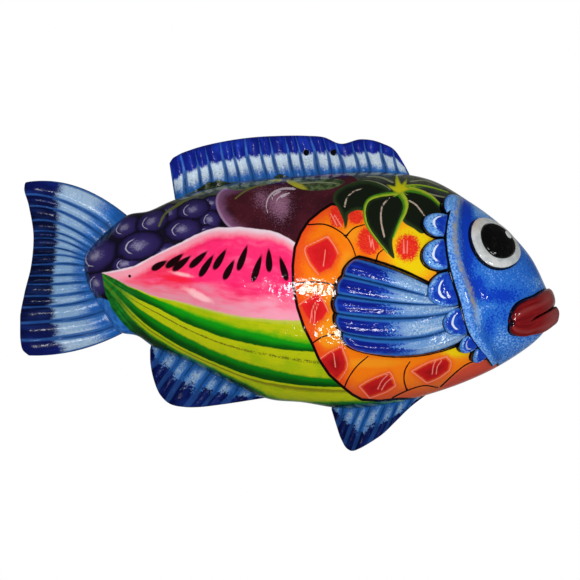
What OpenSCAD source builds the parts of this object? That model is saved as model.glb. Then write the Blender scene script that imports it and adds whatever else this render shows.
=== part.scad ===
// Ceramic fish wall plaque. A hollow body of pressed clay, open at the back, carries fins, a
// gill fringe, an eye and lips that are formed apart and luted on with slip before the firing.
// X runs from tail to mouth, Z is up, and -Y faces the room. The origin lies on the wall,
// midway between the two hanging holes in the dorsal fin.

/* [Body] */
// Length of the body from its tail end to the muzzle
body_len = 259; // [230:1:290]
// Height that the body's outline is drawn to
body_h = 129; // [115:1:145]
// Rise of the domed front above the upright band
dome_h = 48; // [40:1:56]
// Height of the upright band round the back edge, which the fins butt against
band_h = 8; // [8:0.5:12]
// Thickness of the pressed clay wall
wall = 6; // [4:0.5:8]
// Thickness of the slip that beds each piece on its neighbour
slip = 0.3; // [0.2:0.05:0.5]

/* [Hanging holes] */
// Diameter of each hanging hole
hole_d = 3.5; // [3:0.1:4.5]
// Distance between the two hanging holes
hole_pitch = 15; // [12:0.5:20]
// Height of the hanging holes above the root of the dorsal fin
hole_rise = 11.5; // [9:0.5:13]
// Distance from the hanging holes back to the tail end of the body
hole_from_tail = 130.5; // [120:0.5:140]

/* [Wall fins] */
// Thickness of the fins that lie on the wall
fin_t = 7; // [5:0.5:8]
// Depth of the grooves between the rays of those fins
groove = 1.8; // [1:0.1:2.5]
// Height of the dorsal fin
dorsal_h = 23; // [20:0.5:28]
// How far the rays of the dorsal fin lean back towards the tail
dorsal_lean = 5.5; // [3:0.5:8]
// Rays in the dorsal fin
dorsal_rays = 18; // [14:1:20]
// Reach of the tail fin behind the body
tail_len = 35.5; // [30:0.5:45]
// Height of the tail fin from tip to tip
tail_span = 96; // [84:1:110]
// Rays in the tail fin
tail_rays = 14; // [10:1:16]
// Drop of the anal fin below its front end
anal_drop = 34.5; // [28:0.5:38]
// Rays in the anal fin
anal_rays = 8; // [6:1:10]
// Drop of the pelvic fin below its root
pelvic_drop = 24; // [18:0.5:30]
// Rays in the pelvic fin
pelvic_rays = 7; // [5:1:9]

/* [Pectoral fin] */
// Length of the pectoral fin from the gill fringe to its tip
pectoral_len = 62; // [54:0.5:68]
// Height of the pectoral fin across its fluted tip
pectoral_span = 51; // [44:0.5:56]
// Thickness of the pectoral fin
pectoral_t = 6.5; // [5:0.5:9]
// Depth of the flutes between its ribs
flute = 2.6; // [1.5:0.1:3.5]
// Ribs across the pectoral fin
pectoral_ribs = 5; // [4:1:7]

/* [Gill and lips] */
// Height of the rolled edge of the gill cover
gill_t = 3.6; // [2.5:0.1:5]
// Width of the gill cover at its widest
gill_w = 12; // [10:0.5:14]
// Height of the lobes in the gill fringe
lobe_t = 4; // [3:0.1:5]
// Reach of the longest lobe in the gill fringe
lobe_reach = 15; // [12:0.5:17]
// Height of the lips above the muzzle
lip_t = 5; // [3.5:0.1:6]
// Reach of the lips back along the cheek
lip_reach = 25; // [20:0.5:28]

/* [Eye] */
// Diameter of the raised white ring
eye_d = 33; // [28:0.5:35]
// Diameter of the black pupil
pupil_d = 20.5; // [16:0.5:23]
// Height of the white ring above the cheek
eye_t = 3; // [2:0.1:4]
// Height of the pupil's dome above the cheek
pupil_t = 6; // [4.5:0.1:8]

/* [Hidden] */

// The outline of the body: each point is a share of the length, then a share of the height
// above or below the line that the body is drawn about.
TOP = [[0, 0.099], [0.021, 0.178], [0.06, 0.253], [0.094, 0.303], [0.141, 0.322], [0.184, 0.361],
    [0.248, 0.408], [0.313, 0.438], [0.462, 0.470], [0.655, 0.485], [0.741, 0.453], [0.827, 0.356],
    [0.912, 0.221], [0.955, 0.120], [0.983, 0.009], [1, -0.107]];
BOTTOM = [[0, -0.099], [0.009, -0.004], [0.034, 0.085], [0.075, 0.197], [0.12, 0.222], [0.141, 0.253],
    [0.233, 0.335], [0.323, 0.429], [0.4, 0.489], [0.462, 0.500], [0.559, 0.528], [0.662, 0.504],
    [0.762, 0.451], [0.848, 0.384], [0.934, 0.285], [0.976, 0.215], [1, 0.107]];
// The rise of the dome along the body, as a share of its full rise.
RISE = [[0, 0], [0.06, 0.42], [0.15, 0.62], [0.3, 0.86], [0.5, 1], [0.68, 1], [0.82, 0.88],
    [0.9, 0.72], [0.96, 0.48], [1, 0]];
// The gill edge, from the back of the head down to the throat, in shares of the body.
GILL = [[0, [0.800, 0.384]], [0.14, [0.783, 0.305]], [0.3, [0.773, 0.200]], [0.48, [0.781, 0.070]],
    [0.66, [0.801, -0.056]], [0.82, [0.826, -0.202]], [0.92, [0.860, -0.283]], [1, [0.882, -0.340]]];
// Where one lobe of the fringe gives way to the next along the gill edge, and each lobe's reach
// as a share of the longest.
LOBE_ENDS = [0.03, 0.15, 0.303, 0.482, 0.685, 0.83, 0.895, 0.945];
LOBE_SHARES = [0.4, 0.85, 0.93, 1, 0.74, 0.52, 0.4];
// Heights of the dorsal fin along its root, as shares of its full height.
DORSAL = [[0, 0.95], [0.1, 0.99], [0.25, 1], [0.45, 0.99], [0.6, 0.93], [0.67, 0.86], [0.735, 0.68],
    [0.82, 0.77], [0.9, 0.7], [0.96, 0.52], [1, 0.16]];
// Free edges of the tail, anal and pelvic fins: shares of the fin's own length and drop.
TAIL = [[0, [0.87, 0.462]], [0.05, [0.93, 0.44]], [0.18, [0.86, 0.335]], [0.3, [0.797, 0.2]],
    [0.42, [0.79, 0.1]], [0.55, [0.83, -0.03]], [0.7, [0.93, -0.18]], [0.84, [1, -0.33]],
    [0.93, [0.98, -0.45]], [1, [0.85, -0.535]]];
ANAL = [[0, [0, 0.08]], [0.1, [0.005, 0.32]], [0.2, [0.035, 0.58]], [0.3, [0.085, 0.8]],
    [0.4, [0.17, 0.95]], [0.5, [0.29, 1]], [0.6, [0.42, 1]], [0.7, [0.56, 0.97]], [0.8, [0.71, 0.93]],
    [0.9, [0.86, 0.885]], [1, [0.99, 0.845]]];
PELVIC = [[0, [0, 0.04]], [0.12, [0.05, 0.4]], [0.24, [0.1, 0.72]], [0.34, [0.16, 0.94]],
    [0.42, [0.22, 1]], [0.5, [0.3, 0.94]], [0.6, [0.42, 0.79]], [0.7, [0.55, 0.59]],
    [0.8, [0.685, 0.3]], [0.9, [0.84, -0.03]], [1, [0.995, -0.29]]];
// Places of the fins' roots along the body's outline, as shares of its length.
DORSAL_ROOT = [0.193, 0.7];
TAIL_ROOT = [0.094, 0.072];
ANAL_ROOT = [0.146, 0.395];
PELVIC_ROOT = [0.529, 0.732];
// The stretch of the gill edge that the pectoral fin springs from.
PECTORAL_ROOT = [0.53, 0.826];
// Centre of the eye, in shares of the body.
EYE_AT = [0.8815, 0.181];
// The outer edges of the two lips and the mouth line between them, from the tip of the muzzle
// to the corner of the mouth, as shares of the lips' reach.
UPPER_LIP = [[0, [-0.15, 0.4]], [0.2, [-0.29, 0.39]], [0.4, [-0.467, 0.315]], [0.6, [-0.689, 0.233]],
    [0.75, [-0.844, 0.133]], [0.9, [-0.956, -0.044]], [1, [-0.99, -0.2]]];
LOWER_LIP = [[0, [-0.08, -0.3]], [0.2, [-0.311, -0.45]], [0.45, [-0.578, -0.51]], [0.68, [-0.822, -0.54]],
    [0.8, [-0.95, -0.5]], [0.9, [-1, -0.42]], [1, [-0.99, -0.27]]];
MOUTH = [[0, [-0.015, 0.089]], [0.2, [-0.133, 0.033]], [0.4, [-0.31, -0.055]], [0.65, [-0.578, -0.167]],
    [0.85, [-0.8, -0.211]], [1, [-0.975, -0.233]]];
MOUTH_SEAM = 0.012;
// Thickness left at a rounded free edge, and how much of a fin's width that rounding takes.
EDGE_SHARE = 0.35;
EDGE_WIDTH = 0.12;

tail_x = -hole_from_tail;
axis_z = -hole_rise - body_h * along(by_station(TOP), station(0));
BODY_STATIONS = 40;
BODY_TURNS = 20;

// Cubic curve through knots [place, value]: each knot's slope comes from its two neighbours.
function along(k, at, i = 0) =
    i < len(k) - 2 && at > k[i + 1][0] ? along(k, at, i + 1) :
    let (h = k[i + 1][0] - k[i][0], s = (at - k[i][0]) / h, a = slope(k, i) * h, b = slope(k, i + 1) * h)
    k[i][1] * (1 + 2 * s) * (1 - s) ^ 2 + a * s * (1 - s) ^ 2
    + k[i + 1][1] * s ^ 2 * (3 - 2 * s) - b * s ^ 2 * (1 - s);
function rate(k, i) = (k[i + 1][1] - k[i][1]) / (k[i + 1][0] - k[i][0]);
function slope(k, i) =
    i == 0 ? rate(k, 0) :
    i == len(k) - 1 ? rate(k, i - 1) :
    let (before = k[i][0] - k[i - 1][0], after = k[i + 1][0] - k[i][0])
    (rate(k, i - 1) * after + rate(k, i) * before) / (before + after);

// A station runs from 0 at the tail end to 1 at the muzzle, closing up towards both ends so
// that the outline is round there.
function share_station(share) = acos(1 - 2 * share) / 180;
function station(x) = share_station((x - tail_x) / body_len);
function by_station(line) = [for (p = line) [share_station(p[0]), p[1]]];
TOP_LINE = by_station(TOP);
BOTTOM_LINE = by_station(BOTTOM);
RISE_LINE = by_station(RISE);
function body_x(u) = tail_x + body_len * (1 - cos(180 * u)) / 2;
function top_z(u) = axis_z + body_h * along(TOP_LINE, u);
function bottom_z(u) = axis_z - body_h * along(BOTTOM_LINE, u);
function mid_z(u) = (top_z(u) + bottom_z(u)) / 2;
function half_h(u) = (top_z(u) - bottom_z(u)) / 2;

// The outside of the body: half ellipses across the fish, t degrees round from the top edge,
// and the same lifted off along its own normal.
function bare_skin(u, t) =
    [body_x(u), -band_h - dome_h * along(RISE_LINE, u) * sin(t), mid_z(u) + half_h(u) * cos(t)];
function skin_normal(u, t, du = 0.004, dt = 0.5) =
    let (v = min(max(u, du), 1 - du),
        n = cross(bare_skin(v, t + dt) - bare_skin(v, t - dt), bare_skin(v + du, t) - bare_skin(v - du, t)))
    n / norm(n);
function skin(u, t, lift = 0) = bare_skin(u, t) + lift * skin_normal(u, t);
function on_skin(p, lift) =
    let (u = station(p[0]), c = (p[1] - mid_z(u)) / half_h(u))
    skin(u, acos(min(max(c, -1), 1)), lift);
function in_body(shares) = [tail_x + body_len * shares[0], axis_z + body_h * shares[1]];
// The outline by signed station: negative along the top edge, positive along the bottom one.
function rim(a, out = 0) = let (p = skin(abs(a), a < 0 ? 0 : 180, out)) [p[0], p[2]];

function mix(a, b, s) = a + (b - a) * s;
function steps(n) = [for (i = [0:n]) i / n];
function wave(s) = pow(abs(sin(180 * s)), 0.6);
// Rounding of a free edge: full thickness from distance 1 inwards.
function eased(d) = d >= 1 ? 1 : EDGE_SHARE + (1 - EDGE_SHARE) * sqrt(1 - (1 - max(d, 0)) ^ 2);
function edge_at(s) = eased((1 - s) / EDGE_WIDTH);
function both_edges(s) = eased(min(s, 1 - s) / EDGE_WIDTH);
function flat(p, y) = [p[0], y, p[1]];

// Closed solid between two grids of points. With wrap the columns close into a ring, and an
// end row that is a pole has one point, or on an open grid one for its foot and one above it.
module slab(under, over, wrap = false, poles = [false, false]) {
    rows = len(under);
    cols = len(under[0]);
    last = wrap ? cols - 1 : cols - 2;
    function is_pole(i) = (i == 0 && poles[0]) || (i == rows - 1 && poles[1]);
    function column(i, j) = is_pole(i) ? (!wrap && (j == 0 || j == cols - 1) ? 0 : 1) : j % cols;
    function id(layer, i, j) = (layer * rows + i) * cols + column(i, j);
    function tri(a, b, c) = a == b || b == c || a == c ? [] : [[a, b, c]];
    function quad(a, b, c, d) = concat(tri(a, b, c), tri(a, c, d));
    m = floor(rows / 2);
    corner = over[m][0];
    turn = cross(over[m][1] - corner, over[m - 1][0] - corner) * (corner - under[m][0]) > 0;
    cells = [for (i = [0:rows - 2], j = [0:last]) [i, j]];
    faces = concat(
        [for (c = cells) let (i = c[0], j = c[1]) each
            quad(id(1, i, j), id(1, i, j + 1), id(1, i + 1, j + 1), id(1, i + 1, j))],
        [for (c = cells) let (i = c[0], j = c[1]) each
            quad(id(0, i, j), id(0, i + 1, j), id(0, i + 1, j + 1), id(0, i, j + 1))],
        [for (j = [0:last]) if (!poles[0]) each
            quad(id(0, 0, j), id(0, 0, j + 1), id(1, 0, j + 1), id(1, 0, j))],
        [for (j = [0:last], n = [rows - 1]) if (!poles[1]) each
            quad(id(0, n, j), id(1, n, j), id(1, n, j + 1), id(0, n, j + 1))],
        [for (i = [0:rows - 2]) if (!wrap) each
            quad(id(0, i, 0), id(1, i, 0), id(1, i + 1, 0), id(0, i + 1, 0))],
        [for (i = [0:rows - 2], e = [cols - 1]) if (!wrap) each
            quad(id(0, i, e), id(0, i + 1, e), id(1, i + 1, e), id(1, i, e))]);
    polyhedron(
        points = concat([for (row = under) each row], [for (row = over) each row]),
        faces = turn ? faces : [for (f = faces) [f[2], f[1], f[0]]]);
}

// One crosswise row of the body: the dome from edge to edge, and its two feet on the wall. At
// either end of the body the dome closes to a single point.
function body_row(u, lift) = let (
    end = u == 0 || u == 1,
    pole = bare_skin(u, 0) + [u == 0 ? -lift : lift, 0, 0],
    dome = [for (t = steps(BODY_TURNS)) end ? pole : skin(u, 180 * t, lift)],
    first = dome[0],
    final = dome[BODY_TURNS])
    concat([[first[0], 0, first[2]]], dome, [[final[0], 0, final[2]]]);

module body_shell() {
    stations = steps(BODY_STATIONS);
    color("royalblue") slab(
        [for (u = stations) body_row(u, -wall)],
        [for (u = stations) body_row(u, 0)],
        poles = [true, true]);
}

// A fin on the wall: rays run from the root to the free edge, bowed sideways on their way.
FIN_ROWS = [0, 0.2, 0.45, 0.7, 0.88, 0.95, 1];
module wall_fin(roots, tips, bows, rays) {
    n = len(roots) - 1;
    function place(j, v) = mix(roots[j], tips[j], v) + bows[j] * 4 * v * (1 - v);
    function cut(j, v) = groove * (1 - wave(rays * j / n)) * min(v / 0.2, 1);
    function depth(j, v) = (fin_t - cut(j, v)) * edge_at(v) * both_edges(j / n);
    slab([for (v = FIN_ROWS) [for (j = [0:n]) flat(place(j, v), 0)]],
        [for (v = FIN_ROWS) [for (j = [0:n]) flat(place(j, v), -depth(j, v))]]);
}
RAY_STEPS = 4;

module tail_fin() {
    ends = [share_station(TAIL_ROOT[0]), share_station(TAIL_ROOT[1])];
    middle = rim(0);
    w = steps(tail_rays * RAY_STEPS);
    roots = [for (s = w) rim(mix(-ends[0], ends[1], s), slip)];
    tips = [for (s = w) let (p = along(TAIL, s)) middle + [-tail_len * p[0], tail_span * p[1]]];
    bows = [for (s = w) [0, tail_span * mix(0.07, -0.04, s)]];
    color("steelblue") wall_fin(roots, tips, bows, tail_rays);
}

// Roots of a fin along one edge of the body: sign is -1 for the top edge and 1 for the bottom.
function edge_roots(range, sign, w) =
    [for (s = w) rim(sign * share_station(mix(range[0], range[1], s)), slip)];
// The free edge of a fin below the body, measured from the front end of its root.
function under_tips(line, roots, drop, w) = let (n = len(roots) - 1, base = roots[n][0] - roots[0][0])
    [for (s = w) let (p = along(line, s)) [roots[0][0] + base * p[0], roots[0][1] - drop * p[1]]];

module dorsal_fin() {
    w = steps(dorsal_rays * RAY_STEPS);
    roots = edge_roots(DORSAL_ROOT, -1, w);
    tips = [for (i = [0:len(w) - 1]) roots[i]
        + [-dorsal_lean * (0.5 + 0.5 * sin(180 * w[i])), dorsal_h * along(DORSAL, w[i])]];
    color("mediumblue") difference() {
        wall_fin(roots, tips, [for (s = w) [0, 0]], dorsal_rays);
        for (side = [-1, 1])
            translate([side * hole_pitch / 2, 1, 0]) rotate([90, 0, 0])
                cylinder(d = hole_d, h = fin_t + 2, $fn = 48);
    }
}

module anal_fin() {
    w = steps(anal_rays * RAY_STEPS);
    roots = edge_roots(ANAL_ROOT, 1, w);
    tips = under_tips(ANAL, roots, anal_drop, w);
    color("navy") wall_fin(roots, tips, [for (s = w) [0, 0]], anal_rays);
}

module pelvic_fin() {
    w = steps(pelvic_rays * RAY_STEPS);
    roots = edge_roots(PELVIC_ROOT, 1, w);
    tips = under_tips(PELVIC, roots, pelvic_drop, w);
    color("navy") wall_fin(roots, tips, [for (s = w) [0, 0]], pelvic_rays);
}

// The gill edge as a line in the body's own plane, and the direction square to it, tailwards.
function gill(g) = in_body(along(GILL, g));
function gill_back(g) =
    let (d = gill(min(g + 0.01, 1)) - gill(max(g - 0.01, 0))) [d[1], -d[0]] / norm(d);
// Outer edge of one lobe of the fringe, s from its upper end to its lower one.
function lobe_edge(k, s, out = 0) = let (g = mix(LOBE_ENDS[k], LOBE_ENDS[k + 1], s))
    gill(g) + gill_back(g) * (out + lobe_reach * LOBE_SHARES[k] * pow(sin(180 * min(max(s, 0), 1)), 0.4));
function lobe_of(g) = max([for (k = [0:len(LOBE_SHARES) - 1]) if (g >= LOBE_ENDS[k] || k == 0) k]);
function fringe(g, out) = let (k = lobe_of(g), e = [LOBE_ENDS[k], LOBE_ENDS[k + 1]])
    lobe_edge(k, (g - e[0]) / (e[1] - e[0]), out);

GILL_STEPS = 24;
GILL_ROWS = [0, 0.1, 0.25, 0.42, 0.6, 0.8, 1];
module gill_cover() {
    function crest(v) = v < 0.4 ? eased(v / 0.4) : mix(1, 0.18, (v - 0.4) / 0.6);
    function height(g, v) = gill_t * crest(v) * both_edges(g);
    function place(g, v) = gill(g) - gill_back(g) * gill_w * v * (0.35 + 0.65 * sin(180 * g));
    w = [for (s = steps(GILL_STEPS)) mix(0.03, 0.97, s)];
    color("cornflowerblue") slab(
        [for (v = GILL_ROWS) [for (g = w) on_skin(place(g, v), slip)]],
        [for (v = GILL_ROWS) [for (g = w) on_skin(place(g, v), slip + height(g, v))]]);
}

LOBE_STEPS = 10;
LOBE_ROWS = [0, 0.35, 0.65, 0.88, 1];
module gill_lobe(k) {
    span = norm(gill(LOBE_ENDS[k + 1]) - gill(LOBE_ENDS[k]));
    seam = slip / span;
    w = [for (s = steps(LOBE_STEPS)) mix(seam, 1 - seam, s)];
    function place(s, v) = let (g = mix(LOBE_ENDS[k], LOBE_ENDS[k + 1], s))
        mix(gill(g) + gill_back(g) * slip, lobe_edge(k, s), v);
    function height(s, v) = lobe_t * edge_at(v) * eased(min(s, 1 - s) / 0.3);
    color("dodgerblue") slab(
        [for (v = LOBE_ROWS) [for (s = w) on_skin(place(s, v), slip)]],
        [for (v = LOBE_ROWS) [for (s = w) on_skin(place(s, v), slip + height(s, v))]]);
}

PECTORAL_ROWS = [0, 0.15, 0.35, 0.6, 0.8, 0.92, 1];
PECTORAL_STEPS = 6;
module pectoral_fin() {
    w = steps(pectoral_ribs * PECTORAL_STEPS);
    n = len(w) - 1;
    roots = [for (s = w) fringe(mix(PECTORAL_ROOT[0], PECTORAL_ROOT[1], s), slip)];
    middle = (roots[0] + roots[n]) / 2;
    function reach(s) = pectoral_len
        * (0.82 + 0.15 * pow(sin(180 * s), 0.7) + 0.03 * wave(pectoral_ribs * s));
    function tip(s) = middle + [-reach(s), pectoral_span * (0.62 - s)];
    function place(j, v) = mix(roots[j], tip(w[j]), v) + [0, mix(1.5, -4.5, w[j])] * 4 * v * (1 - v);
    function cut(j, v) = flute * (1 - wave(pectoral_ribs * w[j])) * min(v / 0.3, 1);
    function height(j, v) = (pectoral_t - cut(j, v)) * edge_at(v) * both_edges(w[j]);
    color("blue") slab(
        [for (v = PECTORAL_ROWS) [for (j = [0:n]) on_skin(place(j, v), slip)]],
        [for (v = PECTORAL_ROWS) [for (j = [0:n]) on_skin(place(j, v), slip + height(j, v))]]);
}

// The eye is a round pad on the cheek: its places are set out from the centre along the skin.
EYE_STEPS = 32;
function eye_point(r, a, lift) = let (
    p = in_body(EYE_AT), u = station(p[0]), t = acos((p[1] - mid_z(u)) / half_h(u)),
    along_u = (bare_skin(u + 0.01, t) - bare_skin(u - 0.01, t)) / 0.02,
    along_t = (bare_skin(u, t + 1) - bare_skin(u, t - 1)) / 2,
    side = along_u / norm(along_u), up = cross(skin_normal(u, t), side),
    turn = r * sin(a) / (along_t * up))
    skin(u + (r * cos(a) - turn * (along_t * side)) / norm(along_u), t + turn, lift);
module eye_disc(radii, heights, pole) {
    function ring(r, lift) = [for (j = [0:EYE_STEPS - 1]) eye_point(r, 360 * j / EYE_STEPS, lift)];
    slab([for (r = radii) ring(r, slip)],
        [for (i = [0:len(radii) - 1]) ring(radii[i], slip + heights[i])],
        wrap = true, poles = [pole, false]);
}
module eye_ring() {
    bore = pupil_d / 2 + slip;
    across = eye_d / 2 - bore;
    color("white") eye_disc([for (s = [0, 0.35, 0.7, 0.9, 1]) bore + across * s],
        [for (s = [1, 1, 0.92, 0.75, 0.4]) eye_t * s], false);
}
module eye_pupil() {
    color("black") eye_disc([for (s = [0, 0.3, 0.6, 0.85, 1]) pupil_d / 2 * s],
        [for (s = [1, 0.97, 0.87, 0.7, 0.52]) pupil_t * s], true);
}

// A lip runs from the tip of the muzzle to the corner of the mouth on the cheek, between the
// mouth line and its own outer edge.
LIP_ROWS = [0, 0.06, 0.18, 0.34, 0.5, 0.66, 0.8, 0.9, 0.97];
LIP_TURNS = 10;
module lip(edge, mouth) {
    front = [tail_x + body_len, mid_z(1)];
    function place(s, q) = front + lip_reach * mix(along(edge, s), along(mouth, s), q);
    function height(s, q) = lip_t * both_edges(q) * eased((1 - s) / 0.25);
    color("firebrick") slab(
        [for (s = LIP_ROWS) [for (q = steps(LIP_TURNS)) on_skin(place(s, q), slip)]],
        [for (s = LIP_ROWS) [for (q = steps(LIP_TURNS)) on_skin(place(s, q), slip + height(s, q))]]);
}
module upper_lip() {
    lip(UPPER_LIP, [for (k = MOUTH) [k[0], k[1] + [0, MOUTH_SEAM]]]);
}
module lower_lip() {
    lip(LOWER_LIP, [for (k = MOUTH) [k[0], k[1] - [0, MOUTH_SEAM]]]);
}

body_shell();
tail_fin();
dorsal_fin();
anal_fin();
pelvic_fin();
pectoral_fin();
gill_cover();
gill_lobe(0);  // gill_lobe_1
gill_lobe(1);  // gill_lobe_2
gill_lobe(2);  // gill_lobe_3
gill_lobe(3);  // gill_lobe_4
gill_lobe(4);  // gill_lobe_5
gill_lobe(5);  // gill_lobe_6
gill_lobe(6);  // gill_lobe_7
eye_ring();
eye_pupil();
upper_lip();
lower_lip();
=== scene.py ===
# %% [markdown]
# # A painted ceramic fish for the wall
# The object is a hollow fish of fired clay, 300 mm long, that hangs flat on a wall by two small
# holes in its back fin. Its front is a deep dome with raised fins, a raised gill edge with a fringe
# of lobes, an eye and lips, and all of it is painted by hand and by airbrush under a shiny varnish:
# fruit on the body, blues on the head and fins.
#
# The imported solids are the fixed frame. Each piece below is worked out from the same measures as
# its solid, only much finer, and then takes its solid's place.

import bmesh
import bpy
import numpy as np
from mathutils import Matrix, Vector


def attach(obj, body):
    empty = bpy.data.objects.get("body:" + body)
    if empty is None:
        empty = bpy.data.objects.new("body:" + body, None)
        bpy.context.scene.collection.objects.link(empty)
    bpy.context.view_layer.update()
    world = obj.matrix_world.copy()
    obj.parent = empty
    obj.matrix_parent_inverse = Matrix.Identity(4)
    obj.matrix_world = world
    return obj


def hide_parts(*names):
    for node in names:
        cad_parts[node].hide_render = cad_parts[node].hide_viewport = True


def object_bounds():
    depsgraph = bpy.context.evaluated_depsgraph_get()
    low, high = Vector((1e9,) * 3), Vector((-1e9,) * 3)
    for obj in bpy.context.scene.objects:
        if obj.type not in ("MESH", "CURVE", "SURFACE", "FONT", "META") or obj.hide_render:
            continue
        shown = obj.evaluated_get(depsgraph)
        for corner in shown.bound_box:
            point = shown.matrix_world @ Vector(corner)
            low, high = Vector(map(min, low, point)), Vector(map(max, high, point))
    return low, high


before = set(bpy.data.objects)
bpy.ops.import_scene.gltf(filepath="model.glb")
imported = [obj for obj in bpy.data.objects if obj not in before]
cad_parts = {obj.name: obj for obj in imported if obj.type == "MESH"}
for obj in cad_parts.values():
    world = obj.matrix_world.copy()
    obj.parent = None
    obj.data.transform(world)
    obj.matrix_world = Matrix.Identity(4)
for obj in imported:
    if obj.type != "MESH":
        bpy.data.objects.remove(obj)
cad_box = [[float(c) for c in corner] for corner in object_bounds()]
print("solids to dress:", len(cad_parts), "in the box", np.round(cad_box, 4).tolist())

# %% [markdown]
# ## One smooth line through a few measured points
# Every outline of the fish is drawn by a short list of knots. A single polynomial through them
# would swing about, and straight pieces would show corners, so each gap gets its own cubic, and
# neighbouring cubics share their slope at the knot.

# %% Curves through knots
def along(knots, at):
    """Value at the places `at` of the curve through knots [place, value]. Between two knots it is
    a cubic. The slope at an inner knot is the mean of the two neighbouring rates, each weighted by
    the other one's gap, and an end knot takes the rate of its only gap."""
    place = np.array([k[0] for k in knots], float)
    value = np.array([k[1] for k in knots], float)
    at = np.asarray(at, float)
    gap = np.diff(place)
    rate = (np.diff(value, axis=0).T / gap).T
    share = gap[1:] / (gap[1:] + gap[:-1])
    inner = (rate[:-1].T * share + rate[1:].T * (1 - share)).T
    slope = np.concatenate([rate[:1], inner, rate[-1:]])
    i = np.clip(np.searchsorted(place, at, side="right") - 1, 0, len(gap) - 1)
    s, h = (at - place[i]) / gap[i], gap[i]
    if value.ndim == 2:
        s, h = s[..., None], h[..., None]
    return (value[i] * (1 + 2 * s) * (1 - s) ** 2 + slope[i] * h * s * (1 - s) ** 2
            + value[i + 1] * s ** 2 * (3 - 2 * s) - slope[i + 1] * h * s ** 2 * (1 - s))


def mix(a, b, s):
    """Straight blend from a, at s = 0, to b, at s = 1."""
    return a + (b - a) * s


print("a curve through 0, 1, 0 is", float(along([[0, 0], [1, 1], [2, 0]], 0.5)), "half way up")

# %% [markdown]
# ## The body's skin
# The body is a press moulded or slip cast shell: seen from the front it has the outline of a fish,
# and each slice across it is half an ellipse that stands on a short upright band along the wall.
# Two numbers find any point of it: the station along the fish, and the angle round the slice.

# %% Sizes of the body, in metres
MM = 0.001
BODY_LEN, BODY_H, DOME_H, BAND_H, WALL = 259 * MM, 129 * MM, 48 * MM, 8 * MM, 6 * MM
TAIL_X, HOLE_RISE, HOLE_PITCH, HOLE_D = -130.5 * MM, 11.5 * MM, 15 * MM, 3.5 * MM
TOP = [[0, 0.099], [0.021, 0.178], [0.06, 0.253], [0.094, 0.303], [0.141, 0.322], [0.184, 0.361],
       [0.248, 0.408], [0.313, 0.438], [0.462, 0.470], [0.655, 0.485], [0.741, 0.453],
       [0.827, 0.356], [0.912, 0.221], [0.955, 0.120], [0.983, 0.009], [1, -0.107]]
BOTTOM = [[0, -0.099], [0.009, -0.004], [0.034, 0.085], [0.075, 0.197], [0.12, 0.222],
          [0.141, 0.253], [0.233, 0.335], [0.323, 0.429], [0.4, 0.489], [0.462, 0.500],
          [0.559, 0.528], [0.662, 0.504], [0.762, 0.451], [0.848, 0.384], [0.934, 0.285],
          [0.976, 0.215], [1, 0.107]]
RISE = [[0, 0], [0.06, 0.42], [0.15, 0.62], [0.3, 0.86], [0.5, 1], [0.68, 1], [0.82, 0.88],
        [0.9, 0.72], [0.96, 0.48], [1, 0]]


def station(share):
    """Station at a share of the length: the angle whose versine is that share, over half a turn,
    so stations crowd together at both ends and the outline closes in a round."""
    return np.arccos(np.clip(1 - 2 * np.asarray(share, float), -1, 1)) / np.pi


TOP_LINE, BOTTOM_LINE, RISE_LINE = ([[float(station(a)), b] for a, b in line]
                                    for line in (TOP, BOTTOM, RISE))
AXIS_Z = -HOLE_RISE - BODY_H * float(along(TOP_LINE, station(-TAIL_X / BODY_LEN)))


def edges_at(u):
    """Heights of the body's top and bottom edge at a station."""
    return AXIS_Z + BODY_H * along(TOP_LINE, u), AXIS_Z - BODY_H * along(BOTTOM_LINE, u)


def bare_skin(u, t):
    """Point of the outside at station u and angle t: half an ellipse from the top edge, t = 0, to
    the bottom edge, t = pi, standing band high off the wall and as deep as the dome is there."""
    u, t = np.broadcast_arrays(np.asarray(u, float), np.asarray(t, float))
    top, bottom = edges_at(u)
    return np.stack([TAIL_X + BODY_LEN * (1 - np.cos(np.pi * u)) / 2,
                     -BAND_H - DOME_H * along(RISE_LINE, u) * np.sin(t),
                     (top + bottom) / 2 + (top - bottom) / 2 * np.cos(t)], -1)


def skin_normal(u, t, du=0.004, dt=np.radians(0.5)):
    """Outward direction: the cross product of a small step round and a small step along."""
    u = np.clip(u, du, 1 - du)
    n = np.cross(bare_skin(u, t + dt) - bare_skin(u, t - dt),
                 bare_skin(u + du, t) - bare_skin(u - du, t))
    return n / np.linalg.norm(n, axis=-1, keepdims=True)


def skin(u, t, lift):
    """The outside at (u, t), lifted off along its own normal."""
    return bare_skin(u, t) + np.asarray(lift)[..., None] * skin_normal(u, t)


def round_from(place):
    """Station and angle of points given by (x, z) as seen from the front."""
    u = station((place[..., 0] - TAIL_X) / BODY_LEN)
    top, bottom = edges_at(u)
    c = (2 * place[..., 1] - top - bottom) / np.maximum(top - bottom, 1e-9)
    return u, np.arccos(np.clip(c, -1, 1))


def on_skin(place, lift):
    """Points seen from the front at (x, z), laid on the outside and lifted off it."""
    u, t = round_from(place)
    return skin(u, t, lift)


def in_body(shares):
    """(x, z) of a place given in shares of the body's length and height."""
    return np.stack([TAIL_X + BODY_LEN * shares[..., 0], AXIS_Z + BODY_H * shares[..., 1]], -1)


print("deepest point of the dome:", np.round(bare_skin(0.55, np.pi / 2), 4).tolist())

# %% [markdown]
# ## From grids of points to a mesh
# A grid of points makes quads directly. A closed piece needs several grids, such as a front, a back
# and the strips between their edges. They are laid side by side in one mesh, their shared border
# points are merged, and the faces are turned outwards together. Named measures, one number for each
# point, go into the mesh as attributes, so that a paint can follow the piece's own shape.

# %% Mesh building
CREASE, MERGE = np.radians(50), 2e-6


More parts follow.
